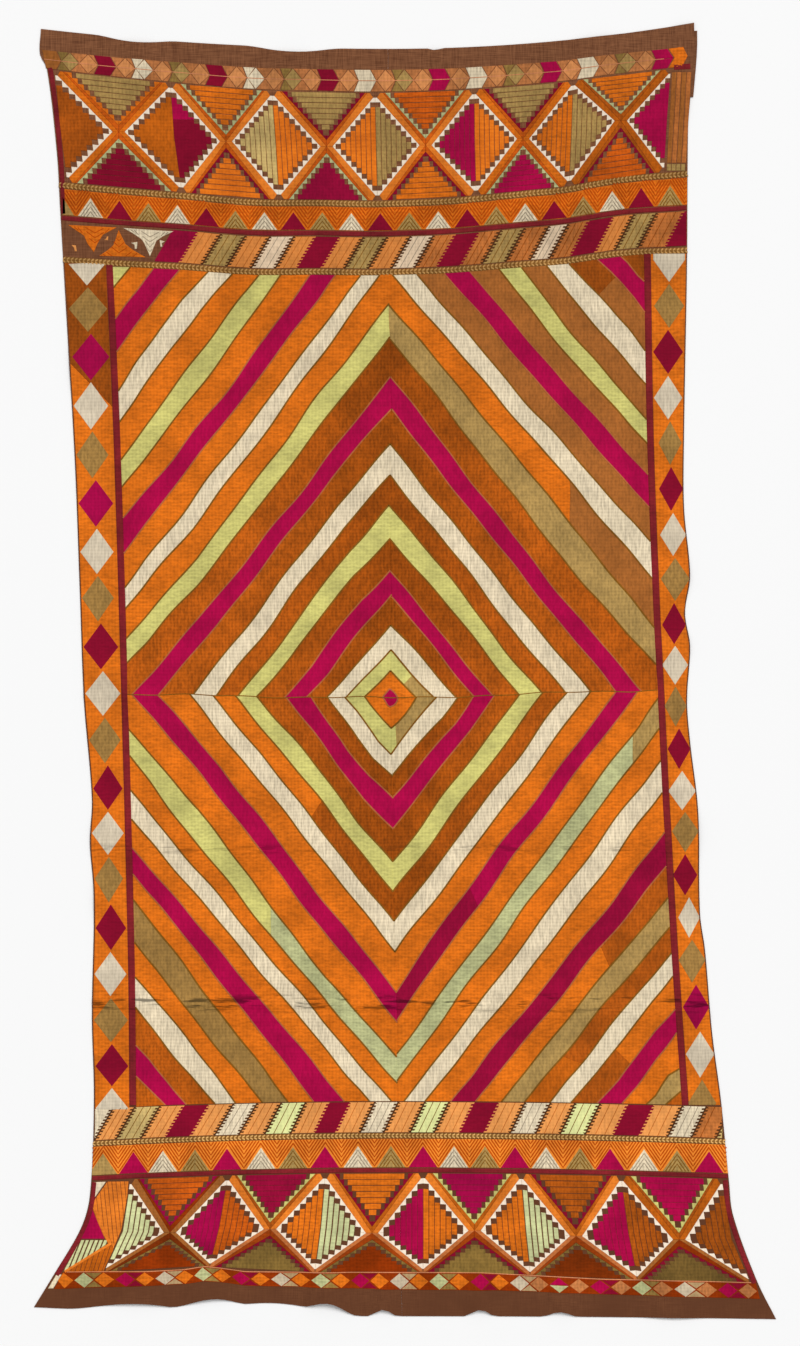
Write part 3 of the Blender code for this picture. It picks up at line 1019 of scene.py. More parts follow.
def maroon_lines():
    """The wine lines: beside the borders, across the rows, and at the edges of the bands."""
    piece = Piece("maroon_lines")
    for edge, top in WHOLE_LINES:
        ribbon(piece, side_path(edge, top, LINES_FOOT, 0, 100), LINE_WIDTH, "wine", top=LINE_TOP)
    for upper, lower in ((WINE_HEAD, WINE_FOOT), (FOOT_WINE_HEAD, FOOT_WINE_FOOT)):
        width = upper.seam - lower.seam - 0.2
        ribbon(piece, row_path(upper, lower), width, "wine", top=LINE_TOP)
    for edge, top, foot, inward in EDGE_LINES:
        ribbon(piece, side_path(edge, top, foot, inward, 24), EDGE_LINE_WIDTH, "wine",
               top=MOTIF)
    piece.make()


CORD_ROWS = [(CORD_HEAD, CORD_FOOT, "cord"), (BRAID_HEAD, BRAID_FOOT, "cord"),
             (FOOT_BRAID_HEAD, FOOT_BRAID_FOOT, "cord_light")]
CORD_WIDTH = 6.2          # for a row 6 counts high, like the sizes of its stitches
STITCH_OFFSET, STITCH_LENGTH, STITCH_WIDTH, STITCH_LEAN, STITCH_PITCH = 1.45, 3.3, 2.7, 2.2, 4.4


def cords():
    """Rows of braid stitch: a brown cord with two rows of slanted stitches on it."""
    piece, marks = Piece("cords"), Piece("cord_stitches")
    for upper, lower, silk in CORD_ROWS:
        path = row_path(upper, lower)
        broad = (upper.seam - lower.seam) / 6
        ribbon(piece, path, CORD_WIDTH * broad, "cord_base", top=2.3 * MM)
        for side in (-1, 1):
            stitches(marks, path, side * STITCH_OFFSET * broad, STITCH_LENGTH * broad, STITCH_WIDTH,
                     side * STITCH_LEAN, STITCH_PITCH, silk)
    piece.make()
    marks.make()


# ---------------------------------------------------------------- bands of diamonds

EDGE = 0.988              # outer corners of the steps, as a share from the middle to the frame
FILL_IN = 0.012           # how far a filling reaches into the brown steps, and the teeth too
GUSSET_RUNG = 0.113       # one step of the triangles between the diamonds
GUSSET_STEPS = 8
CROSSING_GAP = 6.0        # counts from where two frames cross to the tip of a diamond
APEX_GAP = 6.6            # and to the tip of a triangle
FRAME_HALF = 2.2          # width of the outer half of a frame where it meets the row's side
FRAME_BASE = 2.8          # and of the inner half

Diamond = namedtuple("Diamond", "first second lined upper cut", defaults=(True, None, 0.0))
Gusset = namedtuple("Gusset", "edge floss lined", defaults=(True,))
Frame = namedtuple("Frame", "upper lower above below")   # along the diamonds and the triangles
Band = namedtuple("Band", "rung steps crossings tops feet start_middle end_middle diamonds "
                  "upper lower frames")

HEAD_BAND = Band(
    rung=0.116, steps=8,
    crossings=[(118.6, 132), (226, 141.6), (326.5, 146.7), (425.5, 145.4), (523, 139),
               (620.7, 121)],
    tops=[55, 170.5, 272, 375, 474, 573, 670.5],
    feet=[67, 181.5, 279, 377.5, 476, 569, 664],
    start_middle=(60, 126), end_middle=(667, 119),
    diamonds=[
        Diamond("rust_mid", "rust_mid", False),
        Diamond("rust_bright", "crimson", False, "magenta", 551.0),
        Diamond("olive_pale", "orange_bright"), Diamond("orange_bright", "olive"),
        Diamond("magenta", "orange_bright"), Diamond("orange", "olive"),
        Diamond("magenta", "magenta", False),
    ],
    upper=[
        Gusset("orange", "olive"), Gusset("mint", "orange"),
        Gusset("crimson", "olive"), Gusset("mint", "orange_deep"),
        Gusset("crimson", "olive"), Gusset("mint", "orange"),
    ],
    lower=[
        Gusset("mint", "crimson"), Gusset("crimson", "orange_bright"),
        Gusset("mint", "magenta_dark", False), Gusset("crimson", "orange"),
        Gusset("mint", "magenta"), Gusset("crimson", "orange_deep"),
    ],
    frames=[
        Frame("orange", "orange", "orange_deep", "orange_deep"),
        *[Frame("orange_light", "orange_light", "orange_deep", "orange_deep")] * 3,
        Frame("orange", "orange", "orange_deep", "orange_deep"),
        Frame("rust_bright", "rust_bright", "rust_mid", "rust_mid"),
    ],
)
FOOT_BAND = Band(
    rung=0.1255, steps=7,
    crossings=[(170, 1232.5), (270, 1229), (372, 1233), (474.5, 1230.5), (576, 1236),
               (679, 1239.5)],
    tops=[130, 227.5, 325, 423, 521, 621, 722],
    feet=[105.5, 210, 315, 423, 530, 637, 749],
    start_middle=(122.5, 1231), end_middle=(731.5, 1238),
    diamonds=[
        Diamond("lime_pale", "lime_pale"), Diamond("magenta_deep", "orange_deep"),
        Diamond("orange", "lime_pale"), Diamond("magenta", "orange"),
        Diamond("orange", "lime_pale"), Diamond("magenta", "rust_mid"),
        Diamond("rust_plain", "rust_plain"),
    ],
    upper=[
        Gusset("magenta_deep", "orange_deep"), Gusset("lime", "magenta_dark"),
        Gusset("crimson", "orange"), Gusset("lime", "magenta_deep"),
        Gusset("crimson", "rust_mid"), Gusset("lime", "magenta"),
    ],
    lower=[
        Gusset("olive_dark", "russet", False), Gusset("crimson", "olive_dark", False),
        Gusset("olive_dark", "russet", False), Gusset("crimson", "olive_dark", False),
        Gusset("olive_dark", "russet_dark", False), Gusset("crimson", "olive_dim", False),
    ],
    frames=[
        Frame("tan", "tan", "russet", "russet_dark"),
        Frame("orange_light", "copper", "rust_mid", "russet_light"),
        *[Frame("orange_light", "copper", "rust_bright", "russet_light")] * 3,
        Frame("rust_bright", "tan", "rust_mid", "russet"),
    ],
)
# y: height of the side at x; away: 1 up, -1 down; tip_gap: from it to the tip of a diamond; blunt:
# where along a frame its teeth stop; bridge: half the width of the frame where it meets the side.
Side = namedtuple("Side", "y away tip_gap blunt bridge")
BEYOND = 1000             # counts, farther than any place on the cloth
LEAST_REACH = 0.02        # a shorter bar is left out
BAR_GAP = 0.005           # share of a triangle between its bars, where no other one is given
BAR_GAPS = {"lime_pale": 0.012, "magenta": 0.001, "magenta_deep": 0.001, "magenta_dark": 0.001,
            "crimson": 0.001}


def step_extent(rung, k, back):
    """How far step k reaches sideways; back counts whole rungs behind the brown steps."""
    return EDGE - (k + 1 + back) * rung + (FILL_IN if back else -FILL_IN)


def teeth(at, rung, steps, blunt):
    """Outline of one side's pale teeth, between its frame and the brown steps."""
    corners = [at(1, 0), at(1 - blunt, blunt), at(0, blunt)] if blunt < 1 else [at(1, 0), at(0, 1)]
    for k in range(steps):
        reach = step_extent(rung, k, 0)
        corners += [at(k * rung, reach), at((k + 1) * rung, reach)]
    return [*corners, at(steps * rung, 0)]


def filling(piece, at, rung, steps, floss_name, lined, kinked, upper=None, cut=0.0):
    """The stepped filling, in bars or as one area. at takes a place along and across the bars.
    Where an upper floss is named, it fills the part above the cut."""
    gap = BAR_GAPS.get(floss_name, BAR_GAP)
    rows = [(k * rung, (k + 1) * rung, step_extent(rung, k, 1)) for k in range(steps - 1)]
    rows = [row for row in rows if row[2] > LEAST_REACH]
    if lined:
        for start, end, reach in rows:
            a, b = start + gap, end - gap
            kinks = ([at(b, 0)], [at(a, 0)]) if kinked else ([], [])
            corners = [at(a, -reach), at(b, -reach), *kinks[0], at(b, reach), at(a, reach), *kinks[1]]
            patch(piece, corners, floss_name, bevel=0.3)
        return
    far = [(along, reach) for start, end, reach in rows for along in (start, end)]
    outline = [at(a, b) for a, b in far] + [at(far[-1][0], 0)]
    outline += [at(a, -b) for a, b in reversed(far)] + [at(0, 0)]
    if upper:
        patch(piece, clipped(outline, 90, cut, BEYOND), upper, bevel=0.3)
        outline = clipped(outline, 90, -BEYOND, cut)
    patch(piece, outline, floss_name, bevel=0.3)


def corner_map(middle, left, right, top, foot):
    """Turns shares of -1 to 1 across and along a diamond into counts."""
    middle = np.array(middle)

    def spot(u, v):
        side = np.array(right if left is None or (u > 0 and right is not None) else left)
        end = np.array(top if v > 0 else foot)
        return tuple(middle + (side - middle) * abs(u) + (end - middle) * abs(v))

    return spot


def band_diamonds(piece, band, sides):
    """The diamonds of a band with their teeth and the inner half of their frames."""
    upper, lower = sides
    last = len(band.diamonds) - 1
    for k, item in enumerate(band.diamonds):
        top, foot = [(x_of(px), side.y(x_of(px)) - side.away * side.tip_gap)
                     for side, px in ((upper, band.tops[k]), (lower, band.feet[k]))]
        ends = {}
        for sign, n in ((-1, k - 1), (1, k)):
            if 0 <= n < last:
                x, y = photo(*band.crossings[n])
                ends[sign] = ((x, y), (x - sign * CROSSING_GAP, y), band.frames[n])
        if len(ends) == 2:
            middle = tuple(np.mean([ends[-1][1], ends[1][1], top, foot], axis=0))
        else:
            middle = photo(*(band.start_middle if k == 0 else band.end_middle))
        inner = {sign: end[1] for sign, end in ends.items()}
        spot = corner_map(middle, inner.get(-1), inner.get(1), top, foot)
        for sign, (crossing, tip, tones) in ends.items():
            for along, side, px in ((1, upper, top[0]), (-1, lower, foot[0])):
                def at(a, b, sign=sign, along=along):
                    return spot(a * sign, b * along)
                patch(piece, teeth(at, band.rung, band.steps, side.blunt), "blush", bevel=0.3)
                outer, close = px + sign * side.bridge, px + sign * (side.bridge - FRAME_BASE)
                strip = [tip, crossing, (outer, side.y(outer)), (close, side.y(close)),
                         at(1 - side.blunt, side.blunt)]
                patch(piece, strip, tones.upper if along > 0 else tones.lower)

            def along_bars(a, b, sign=sign):
                return spot(a * sign, b)
            filling(piece, along_bars, band.rung, band.steps, item.second if sign > 0 else item.first,
                    item.lined, True, item.upper if sign > 0 else None, item.cut)


def band_gussets(piece, band, gussets, side, px_of):
    """The triangles that stand on one side of a band, with the outer half of the frames."""
    for k, item in enumerate(gussets):
        crossing = photo(*band.crossings[k])
        apex = (crossing[0], crossing[1] + side.away * APEX_GAP)
        left = x_of(px_of[k]) + side.bridge + FRAME_HALF
        right = x_of(px_of[k + 1]) - side.bridge - FRAME_HALF
        left, right = (left, side.y(left)), (right, side.y(right))
        spot = corner_map(lerp(left, right, 0.5), left, right, apex, apex)
        for sign, corner in ((-1, left), (1, right)):
            def at(a, b, sign=sign):
                return spot(b * sign, a)
            patch(piece, teeth(at, GUSSET_RUNG, GUSSET_STEPS, 1.0), item.edge, bevel=0.3)
            x = corner[0] + sign * FRAME_HALF
            tone = band.frames[k].above if side.away > 0 else band.frames[k].below
            patch(piece, [apex, crossing, (x, side.y(x)), corner], tone)
        filling(piece, lambda a, b, spot=spot: spot(b, a), GUSSET_RUNG, GUSSET_STEPS, item.floss,
                item.lined, False)


def diamond_band(name, band, upper, lower):
    piece = Piece(name)
    band_diamonds(piece, band, (upper, lower))
    band_gussets(piece, band, band.upper, upper, band.tops)
    band_gussets(piece, band, band.lower, lower, band.feet)
    return piece


END_BARS = 4              # tan bars at the right end of the band, with olive feet below them
BAR_PITCH, BAR_FOOT_PITCH = 4.9, 4.7     # pixels of the photo


def head_diamond_band():
    """The band at the head, with the tan bars and the wine patch at its right end."""
    upper = Side(lambda x: y_on(CHEVRON_FOOT, x) - 0.6, 1, 2.4, 0.955, 7.8)
    lower = Side(lambda x: y_on(CORD_HEAD, x) + 0.6, -1, 2.4, 0.955, 7.8)
    piece = diamond_band("head_diamonds", HEAD_BAND, upper, lower)
    for k in range(END_BARS):
        bar = [(672, 72.5), (676.4, 72.5), (671.2, 163), (666.8, 163)]
        low = [(666.8, 164), (671, 164), (670.8, 171), (666.6, 171)]
        bar = photos(*[(px + BAR_PITCH * k, py) for px, py in bar])
        low = photos(*[(px + BAR_FOOT_PITCH * k, py) for px, py in low])
        patch(piece, bar, ("tan", "bronze")[k % 2])
        patch(piece, low, "olive", bevel=0.4)
    patch(piece, photos((673.5, 65), (690, 63.8), (690.4, 69.5), (674, 70.3)), "wine", bevel=0.4)
    piece.make()


ROW_TOP = [(40, 1272), (150, 1271), (185, 1269.5), (204, 1266), (222, 1268), (245, 1271.5),
           (300, 1272), (480, 1272.5), (600, 1279), (700, 1281), (765, 1283)]
ROW_FOOT = [(40, 1290), (145, 1286), (185, 1284.3), (204, 1281), (224, 1282.4), (245, 1286),
            (320, 1287.5), (400, 1290), (500, 1290.8), (600, 1294.6), (700, 1297.6),
            (765, 1299.5)]


def foot_row_y(share, x):
    """Height inside the row of small diamonds: 0 at its upper side, 1 at the plain hem."""
    sides = [np.interp(x + ORIGIN[0], *np.array(row, dtype=float).T) for row in (ROW_TOP, ROW_FOOT)]
    return float(ORIGIN[1] - (sides[0] + (sides[1] - sides[0]) * share))


def foot_diamond_band():
    """The band at the foot, with the slanted blocks and the pale triangle at its left end."""
    upper = Side(lambda x: y_on(FOOT_WINE_FOOT, x) - 0.6, 1, 2.6, 0.955, 7.4)
    lower = Side(lambda x: foot_row_y(-0.03, x), -1, 2.4, 0.985, 2.8)
    piece = diamond_band("foot_diamonds", FOOT_BAND, upper, lower)
    patch(piece, photos((94.5, 1182), (106, 1181.6), (94.5, 1198)), "cream")
    patch(piece, photos((92, 1208), (103.5, 1235.5), (104.5, 1238.7), (80.8, 1238.7),
                        (86.3, 1224.7)), "magenta")
    block = photos((107.4, 1181.5), (128.6, 1181.2), (127.4, 1196), (124.6, 1212), (121.3, 1230),
                   (113.2, 1249), (111.5, 1241.5), (103.6, 1228.9), (93.6, 1207.5), (92.8, 1202.2))
    sliced(piece, block, 6, 4.1, "orange_light", 0.15)
    pale = photos((80.5, 1240), (107.5, 1240), (106.5, 1244.3), (63, 1272))
    sliced(piece, pale, -22, 4.0, "lime_pale", 0.6)
    block = photos((66, 1272), (111.5, 1244), (113.6, 1249.6), (105.5, 1266.5), (103.5, 1271.5))
    sliced(piece, block, -18, 4.2, "rust_bright", 0.15)
    piece.make()
    lines = Piece("foot_block_lines")
    path = photos((94.3, 1207), (99.2, 1221), (104.9, 1234), (110, 1243))
    ribbon(lines, path, 3.8, "orange_light", top=MOTIF, rim=1.4 * MM)
    path = photos((111.6, 1242.9), (64.8, 1271.4))
    ribbon(lines, path, 2.6, "orange_light", top=MOTIF, rim=ON_FLOSS)
    lines.make()


# ---------------------------------------------------------------- rows of small motifs

Slant = namedtuple("Slant", "px floss")


def slants(places, flosses):
    """Motifs at these pixels of the photo; the flosses take turns."""
    return [Slant(px, flosses[k % len(flosses)]) for k, px in enumerate(places)]


LEAN = 18.5               # counts that a slanted bar leans over the height of its row
FOOT_LEAN = 14.5          # the same in the right part of the row at the foot
LEAN_CHANGE = (-165, -105)               # where the lean of a row changes
ROW_TOP_SHARE, ROW_LOW_SHARE = 0.03, 0.975
SMOOTH_GAP, BESIDE_SMOOTH_GAP, BAR_ROOM = -2.6, -1.0, 0.8    # at the sides of the bars
LAST_BAR = 24             # counts, the width of the last one
TOOTH = 3.7               # counts between its teeth
TOOTH_DEPTH = 2.5
# The floss of the lines on a bar or a triangle. Those without one are smooth.
LINE_FLOSS = {"amber": "line_amber", "honey": "line_amber", "olive": "line_olive",
              "olive_pale": "line_olive", "cream": "line_grey", "ivory": "line_grey",
              "lime_white": "line_olive", "bronze": "rust_plain"}
HEAD_SLANTS = slants([
    166, 188.5, 211.5, 236, 260.5, 284.5, 306, 330.5, 354, 377.5, 401, 424, 446, 469.5, 491.5, 515,
    539.5, 558.5, 579.5, 604, 624.5, 647, 674.5,
], ("magenta_dark honey olive honey ivory honey crimson honey olive honey ivory bronze crimson "
    "bronze olive bronze ivory bronze crimson honey olive bronze crimson").split())
FOOT_SLANTS = slants([
    84, 104, 125.5, 150.5, 174.5, 199.5, 224, 248, 273, 298, 321.5, 343, 367.5, 391, 417.5, 441.5,
    466.5, 491.5, 517.5, 543, 567.5, 592.5, 620, 646.5, 675, 699, 723.5,
], ("cream amber olive_pale amber " + "crimson amber cream amber lime_white amber " * 3
    + "crimson amber cream bronze olive_pale").split())


def toothed_line(start, end, inward):
    """Points from start to end with pockets cut in to one side."""
    start, end = np.array(start), np.array(end)
    count = max(1, round(np.linalg.norm(end - start) / TOOTH))
    out = []
    for k in range(count):
        here = start + (end - start) * k / count
        there = start + (end - start) * (k + 0.5) / count
        out += [tuple(here + (inward, 0)), tuple(here), tuple(there), tuple(there + (inward, 0))]
    return out


def slant_row(name, upper, lower, motifs, walls, leans=(LEAN, LEAN)):
    """Slanted bars with saw-toothed sides, on dark brown; crimson ones lie under the others.
    Each bar is named by the photo pixel of its left side, at half the height of the row."""
    bars, lines, smooth_bars = Piece(name), Piece(name + "_lines"), Piece(name + "_crimson")
    top_line, low_line = [between(upper, lower, share) for share in (ROW_TOP_SHARE, ROW_LOW_SHARE)]

    def at(x, line, sign):
        x = float(x + sign * np.interp(x, LEAN_CHANGE, leans) / 2)
        return (x, y_on(line, x))
    smooth = [item.floss not in LINE_FLOSS for item in motifs]
    for k, item in enumerate(motifs):
        left = x_of(item.px)
        right = x_of(motifs[k + 1].px) if k + 1 < len(motifs) else left + LAST_BAR
        beside = [0 <= n < len(motifs) and smooth[n] for n in (k - 1, k + 1)]
        gaps = [SMOOTH_GAP if smooth[k] else BESIDE_SMOOTH_GAP if by_smooth else BAR_ROOM
                for by_smooth in beside]
        left, right = left + gaps[0], right - gaps[1]
        top_left, top_right = at(left, top_line, 1), at(right, top_line, 1)
        low_left, low_right = at(left, low_line, -1), at(right, low_line, -1)
        if smooth[k]:
            outline = clipped([top_left, top_right, low_right, low_left], 0, *walls)
            patch(smooth_bars, outline, item.floss, top=1.9 * MM, rim=1.5 * MM, bevel=0.3)
            continue
        outline = [top_left, *toothed_line(top_right, low_right, -TOOTH_DEPTH), low_right,
                   *toothed_line(low_left, top_left, TOOTH_DEPTH)]
        outline = clipped(outline, 0, *walls)
        patch(bars, outline, item.floss, top=2.3 * MM, rim=1.7 * MM, bevel=0.3)
        for share in (1 / 3, 2 / 3):
            x = left + (right - left) * share
            path = [at(x, top_line, 1), at(x, low_line, -1)]
            if walls[0] < path[1][0] and path[0][0] < walls[1]:
                ribbon(lines, path, 0.9, LINE_FLOSS[item.floss], top=MOTIF, rim=FLOSS)
    for piece in (bars, smooth_bars, lines):
        piece.make()


HEAD_TRIANGLES = slants([90.6 + 28.97 * k for k in range(-1, 21)], ("olive", "cream", "crimson"))
FOOT_TRIANGLES = slants([
    103, 133.5, 163, 195, 227, 261, 293, 325, 358, 391, 423, 454, 485, 515, 546, 580, 610, 644, 677,
    709,
], ("olive", "magenta", "cream"))


def row_ground(name, upper, lower, floss_name, walls, top=FLOSS):
    """One floss all along a row, under its motifs."""
    piece = Piece(name)
    start, end = walls
    above = line_points(between(upper, lower, 0.02), start[0], end[0])
    foot = line_points(between(upper, lower, 0.98), start[1], end[1])
    patch(piece, above + foot[::-1], floss_name, top=top)
    piece.make()


def valley_path(middle, floor_y, arm, slope, walls):
    """Points of one V between two triangles, cut off at the ends of the row."""
    reach = [min(max(x, walls[0] + 0.8), walls[1] - 0.8)
             for x in (middle - arm, middle, middle + arm)]
    path = [(x, floor_y + abs(x - middle) * slope) for x in reach]
    return [spot for k, spot in enumerate(path) if k == 0 or spot[0] > path[k - 1][0] + 0.5]


BASE_GAP = 0.8            # from a row's lower side to the foot of its triangles
TRIANGLE_SHARE = 0.74     # of the row's height
FOLLOWING = (4.2, 9.0, 13.8)                     # stitched lines inside a triangle, from its tip
VALLEYS = (1.4, 6.0, 10.6, 15.2, 19.8, 24.4)     # and between two, from the foot up


def triangle_row(name, upper, lower, triangles, half, walls):
    """Upright triangles on orange, with the lines of stitches that follow their sides."""
    piece, lines = Piece(name), Piece(name + "_lines")
    places = [x_of(item.px) for item in triangles]
    for x, item in zip(places, triangles):
        base, top = y_on(lower, x) + BASE_GAP, y_on(upper, x)
        rise = (top - base) * TRIANGLE_SHARE
        corners = [(x + side * half, y_on(lower, x + side * half) + BASE_GAP) for side in (-1, 1)]
        shape = clipped([*corners, (x, base + rise)], 0, *walls)
        patch(piece, shape, item.floss, top=MOTIF, rim=ON_FLOSS, bevel=0.3)
        whole = walls[0] < x - half and x + half < walls[1]
        for step in FOLLOWING if item.floss in LINE_FLOSS and whole else ():
            share = 1 - step / rise
            if share > 0.12:
                path = [(x - half * share, base + 0.4), (x, base + rise * share),
                        (x + half * share, base + 0.4)]
                ribbon(lines, path, 1.2, LINE_FLOSS[item.floss], top=2.72 * MM, rim=2.3 * MM)
    around = [2 * places[0] - places[1], *places, 2 * places[-1] - places[-2]]
    for before, after in zip(around, around[1:]):
        middle, reach = (before + after) / 2, (after - before) / 2
        base, top = y_on(lower, middle) + BASE_GAP, y_on(upper, middle)
        slope = (top - base) * TRIANGLE_SHARE / half
        for step in VALLEYS:
            arm = min(reach, (top - base - BASE_GAP - step) / slope)
            path = valley_path(middle, base + step, arm, slope, walls)
            if arm > 1.5 and len(path) > 1:
                ribbon(lines, path, 1.5, "line_rust", top=2.4 * MM, rim=2.0 * MM)
    piece.make()
    lines.make()


CHEVRON_START, CHEVRON_PITCH, CHEVRONS = 57, 37.15, 17    # pixels of the photo


def chevron_row():
    """Row of arrow-shaped motifs with tan diamonds between them, under the head hem."""
    piece = Piece("head_chevrons")
    top, middle, foot = 0.03, 0.5, 0.97

    def at(px, share):
        x = x_of(px)
        return (x, y_on(between(PLAIN_HEAD, CHEVRON_FOOT, share), x))

    def add(floss_name, bevel, px, *corners):
        patch(piece, [at(px + dx, share) for dx, share in corners], floss_name, bevel=bevel)
    add("tan", 0.35, 0, (42, top), (56.5, top), (61, middle), (56.5, foot), (46, foot))
    for k in range(CHEVRONS):
        px = CHEVRON_START + CHEVRON_PITCH * k
        colour = ("olive", "magenta" if k > 9 else "crimson", "cream")[k % 3]
        pointed = colour == "olive" or (colour == "cream" and k < 6)
        if pointed:
            add(colour, 0.5, px, (4.5, middle), (13, top), (22, middle), (13, foot))
            for edge in (top, foot):
                dark = "olive_deep" if colour == "olive" else colour
                add(dark, 0.4, px, (0.5, edge), (12, edge), (4.5, middle))
        else:
            add(colour, 0.4, px, (0, top), (16, top), (22, middle), (4.5, middle))
            add(colour, 0.4, px, (4.5, middle), (22, middle), (16, foot), (0, foot))
        if k < CHEVRONS - 1:
            add("buff", 0.3, px, (22.6, middle), (31, top), (41, middle), (31, foot))
            for edge in (top, foot):
                start = 13.6 if pointed else 16.6
                add("tan_light", 0.3, px, (start, edge), (30.4, edge), (22.3, middle))
                add("tan_light", 0.3, px, (31.6, edge), (36.6, edge), (41, middle))
    add("orange", 0.5, 0, (668.2, top), (683, top), (687.5, middle), (682, foot), (668.2, foot),
        (674.2, middle))
    piece.make()
    lines = Piece("head_chevron_lines")
    path = [at(px, middle) for px in np.linspace(44, 664, 90)]
    ribbon(lines, path, 0.8, "line_pink", top=2.4 * MM, rim=ON_FLOSS)
    lines.make()


SMALL_DIAMONDS = slants([
    64, 84, 104, 126, 145, 165, 185, 203, 222, 241, 260, 281, 300.5, 321, 341, 360.5, 379, 400, 419,
    439, 459, 481, 499, 520, 539, 559, 579, 600, 621, 642, 662, 685, 707, 728, 748,
], ("orange mint orange magenta orange oatmeal " * 4 + "tan_light both tan_light magenta tan_light "
    "mint tan_light oatmeal tan_light magenta tan_light").split())
FLANK = {"magenta": "crimson", "mint": "olive_deep", "oatmeal": "dun"}
BEFORE_FIRST, AFTER_LAST = 13, 19        # counts from the end diamonds to where the next would be


def small_diamond_row():
    """Touching diamonds on russet; every second one has flanks of its own colour behind it."""
    ground = Piece("foot_small_ground")
    across = np.linspace(-351, 351, 90)
    above = [(x + (9 if x < -350 else 0), foot_row_y(0.02, x)) for x in across]
    below = [(x + 4 * max(0, x) / 351, foot_row_y(0.98, x)) for x in across]
    patch(ground, above + below[::-1], "russet")
    ground.make()
    piece = Piece("foot_small_diamonds")

    def add(floss_name, corners, top=MOTIF, bevel=0.35):
        shape = [(x, foot_row_y(share, x)) for x, share in corners]
        patch(piece, shape, floss_name, top=top, rim=ON_FLOSS, bevel=bevel)
    for k, item in enumerate(SMALL_DIAMONDS):
        x = x_of(item.px)
        before = x_of(SMALL_DIAMONDS[k - 1].px) if k else x - BEFORE_FIRST
        after = x_of(SMALL_DIAMONDS[k + 1].px) if k + 1 < len(SMALL_DIAMONDS) else x + AFTER_LAST
        left, right = (before + x) / 2 + 0.4, (x + after) / 2 - 0.4
        if item.floss == "both":
            add("magenta", [(left, 0.5), (right, 0.5), (x - 0.5, 0.04)])
            add("mint", [(left, 0.52), (x + 0.5, 0.96), (right, 0.52)])
        else:
            add(item.floss, [(left, 0.5), (x + 0.5, 0.96), (right, 0.5), (x - 0.5, 0.04)])
        for share, inner in ((0.06, 0.44), (0.94, 0.56)) if item.floss in FLANK else ():
            flank = [(x + 1.4, share), (after - 1.8, share), (right + 0.4, inner)]
            add(FLANK[item.floss], flank, 2.4 * MM, 0.3)
    end = [(-348.5, 0.14), (-343.2, 0.14), (-351.6, 0.93), (-357, 0.93)]
    patch(piece, [(x, foot_row_y(share, x)) for x, share in end], "cream")
    piece.make()
    lines = Piece("foot_small_lines")
    path = [(x, foot_row_y(0.0, x)) for x in np.linspace(-338, 346, 90)]
    ribbon(lines, path, 0.9, "line_pink", top=2.3 * MM, rim=1.7 * MM)
    lines.make()


END_FIGURES = [
    ("orange", [(68, 225), (117, 227.5), (103, 235), (97.5, 244), (94, 252.5), (87.5, 244),
                (84, 236)]),
    ("orange", [(118.7, 230), (125.5, 244), (133, 250), (146, 257.5), (99, 256), (108, 250),
                (113.5, 245)]),
    ("cream", [(123, 228), (174, 231.5), (163, 236.5), (156.5, 241), (150, 256.5), (144, 243),
               (141, 239), (132, 233)]),
    ("amber", [(71.5, 245), (76, 245.5), (77, 251.5), (74.8, 251.5), (74, 248)]),
    ("amber", [(104, 240), (108, 240.5), (108.5, 236.5), (107, 236.5), (106, 239)]),
    ("cream", [(131, 243), (137.5, 242), (137, 249), (134.8, 249), (134.5, 245)]),
    ("cream", [(159.5, 240), (165, 241.5), (162, 243.5), (162.5, 247), (160.5, 247)]),
]
END_LINES = [
    ("line_rust", [
        [(89.5, 238.5), (95, 243), (100, 239.5)], [(86.5, 231.5), (95, 238), (104, 232.5)],
        [(85.5, 227.5), (95, 233), (103.5, 228.5)], [(82.5, 233), (78, 227.5)],
        [(78.5, 230.5), (74.5, 227)], [(105.5, 232.5), (109, 229)],
        [(116.5, 238), (119, 241), (121.5, 238.5)], [(113.8, 242), (119, 247), (124.2, 242.5)],
        [(111.5, 247), (119, 253), (127, 247.8)], [(106.5, 252.2), (112, 256)],
        [(103, 254), (105.5, 256)], [(132, 251.8), (126, 256)], [(137, 253.5), (133, 256.5)],
    ]),
    ("line_grey", [
        [(147.5, 248.5), (150, 252), (152.3, 249)], [(145.5, 241.5), (150, 247), (154.5, 242)],
        [(142.8, 236.5), (150, 242), (157.5, 237)], [(141.5, 231.3), (150, 237), (159, 232.3)],
        [(138.5, 235), (134, 230)], [(134.5, 232.6), (130.5, 229.6)], [(161, 236), (165, 232)],
        [(165.5, 234.5), (168.5, 232.2)],
    ]),
]


def head_end_stars():
    """The brown block at the left end of the slanted row, with its orange and cream figures."""
    piece = Piece("head_end_stars")
    for floss_name, corners in END_FIGURES:
        patch(piece, photos(*corners), floss_name, bevel=0.4, cell=4.0)
    piece.make()
    lines = Piece("head_end_lines")
    for floss_name, paths in END_LINES:
        for path in paths:
            ribbon(lines, photos(*path), 1.0, floss_name, top=2.3 * MM, rim=ON_FLOSS, step=2.5)
    lines.make()


# ---------------------------------------------------------------- build

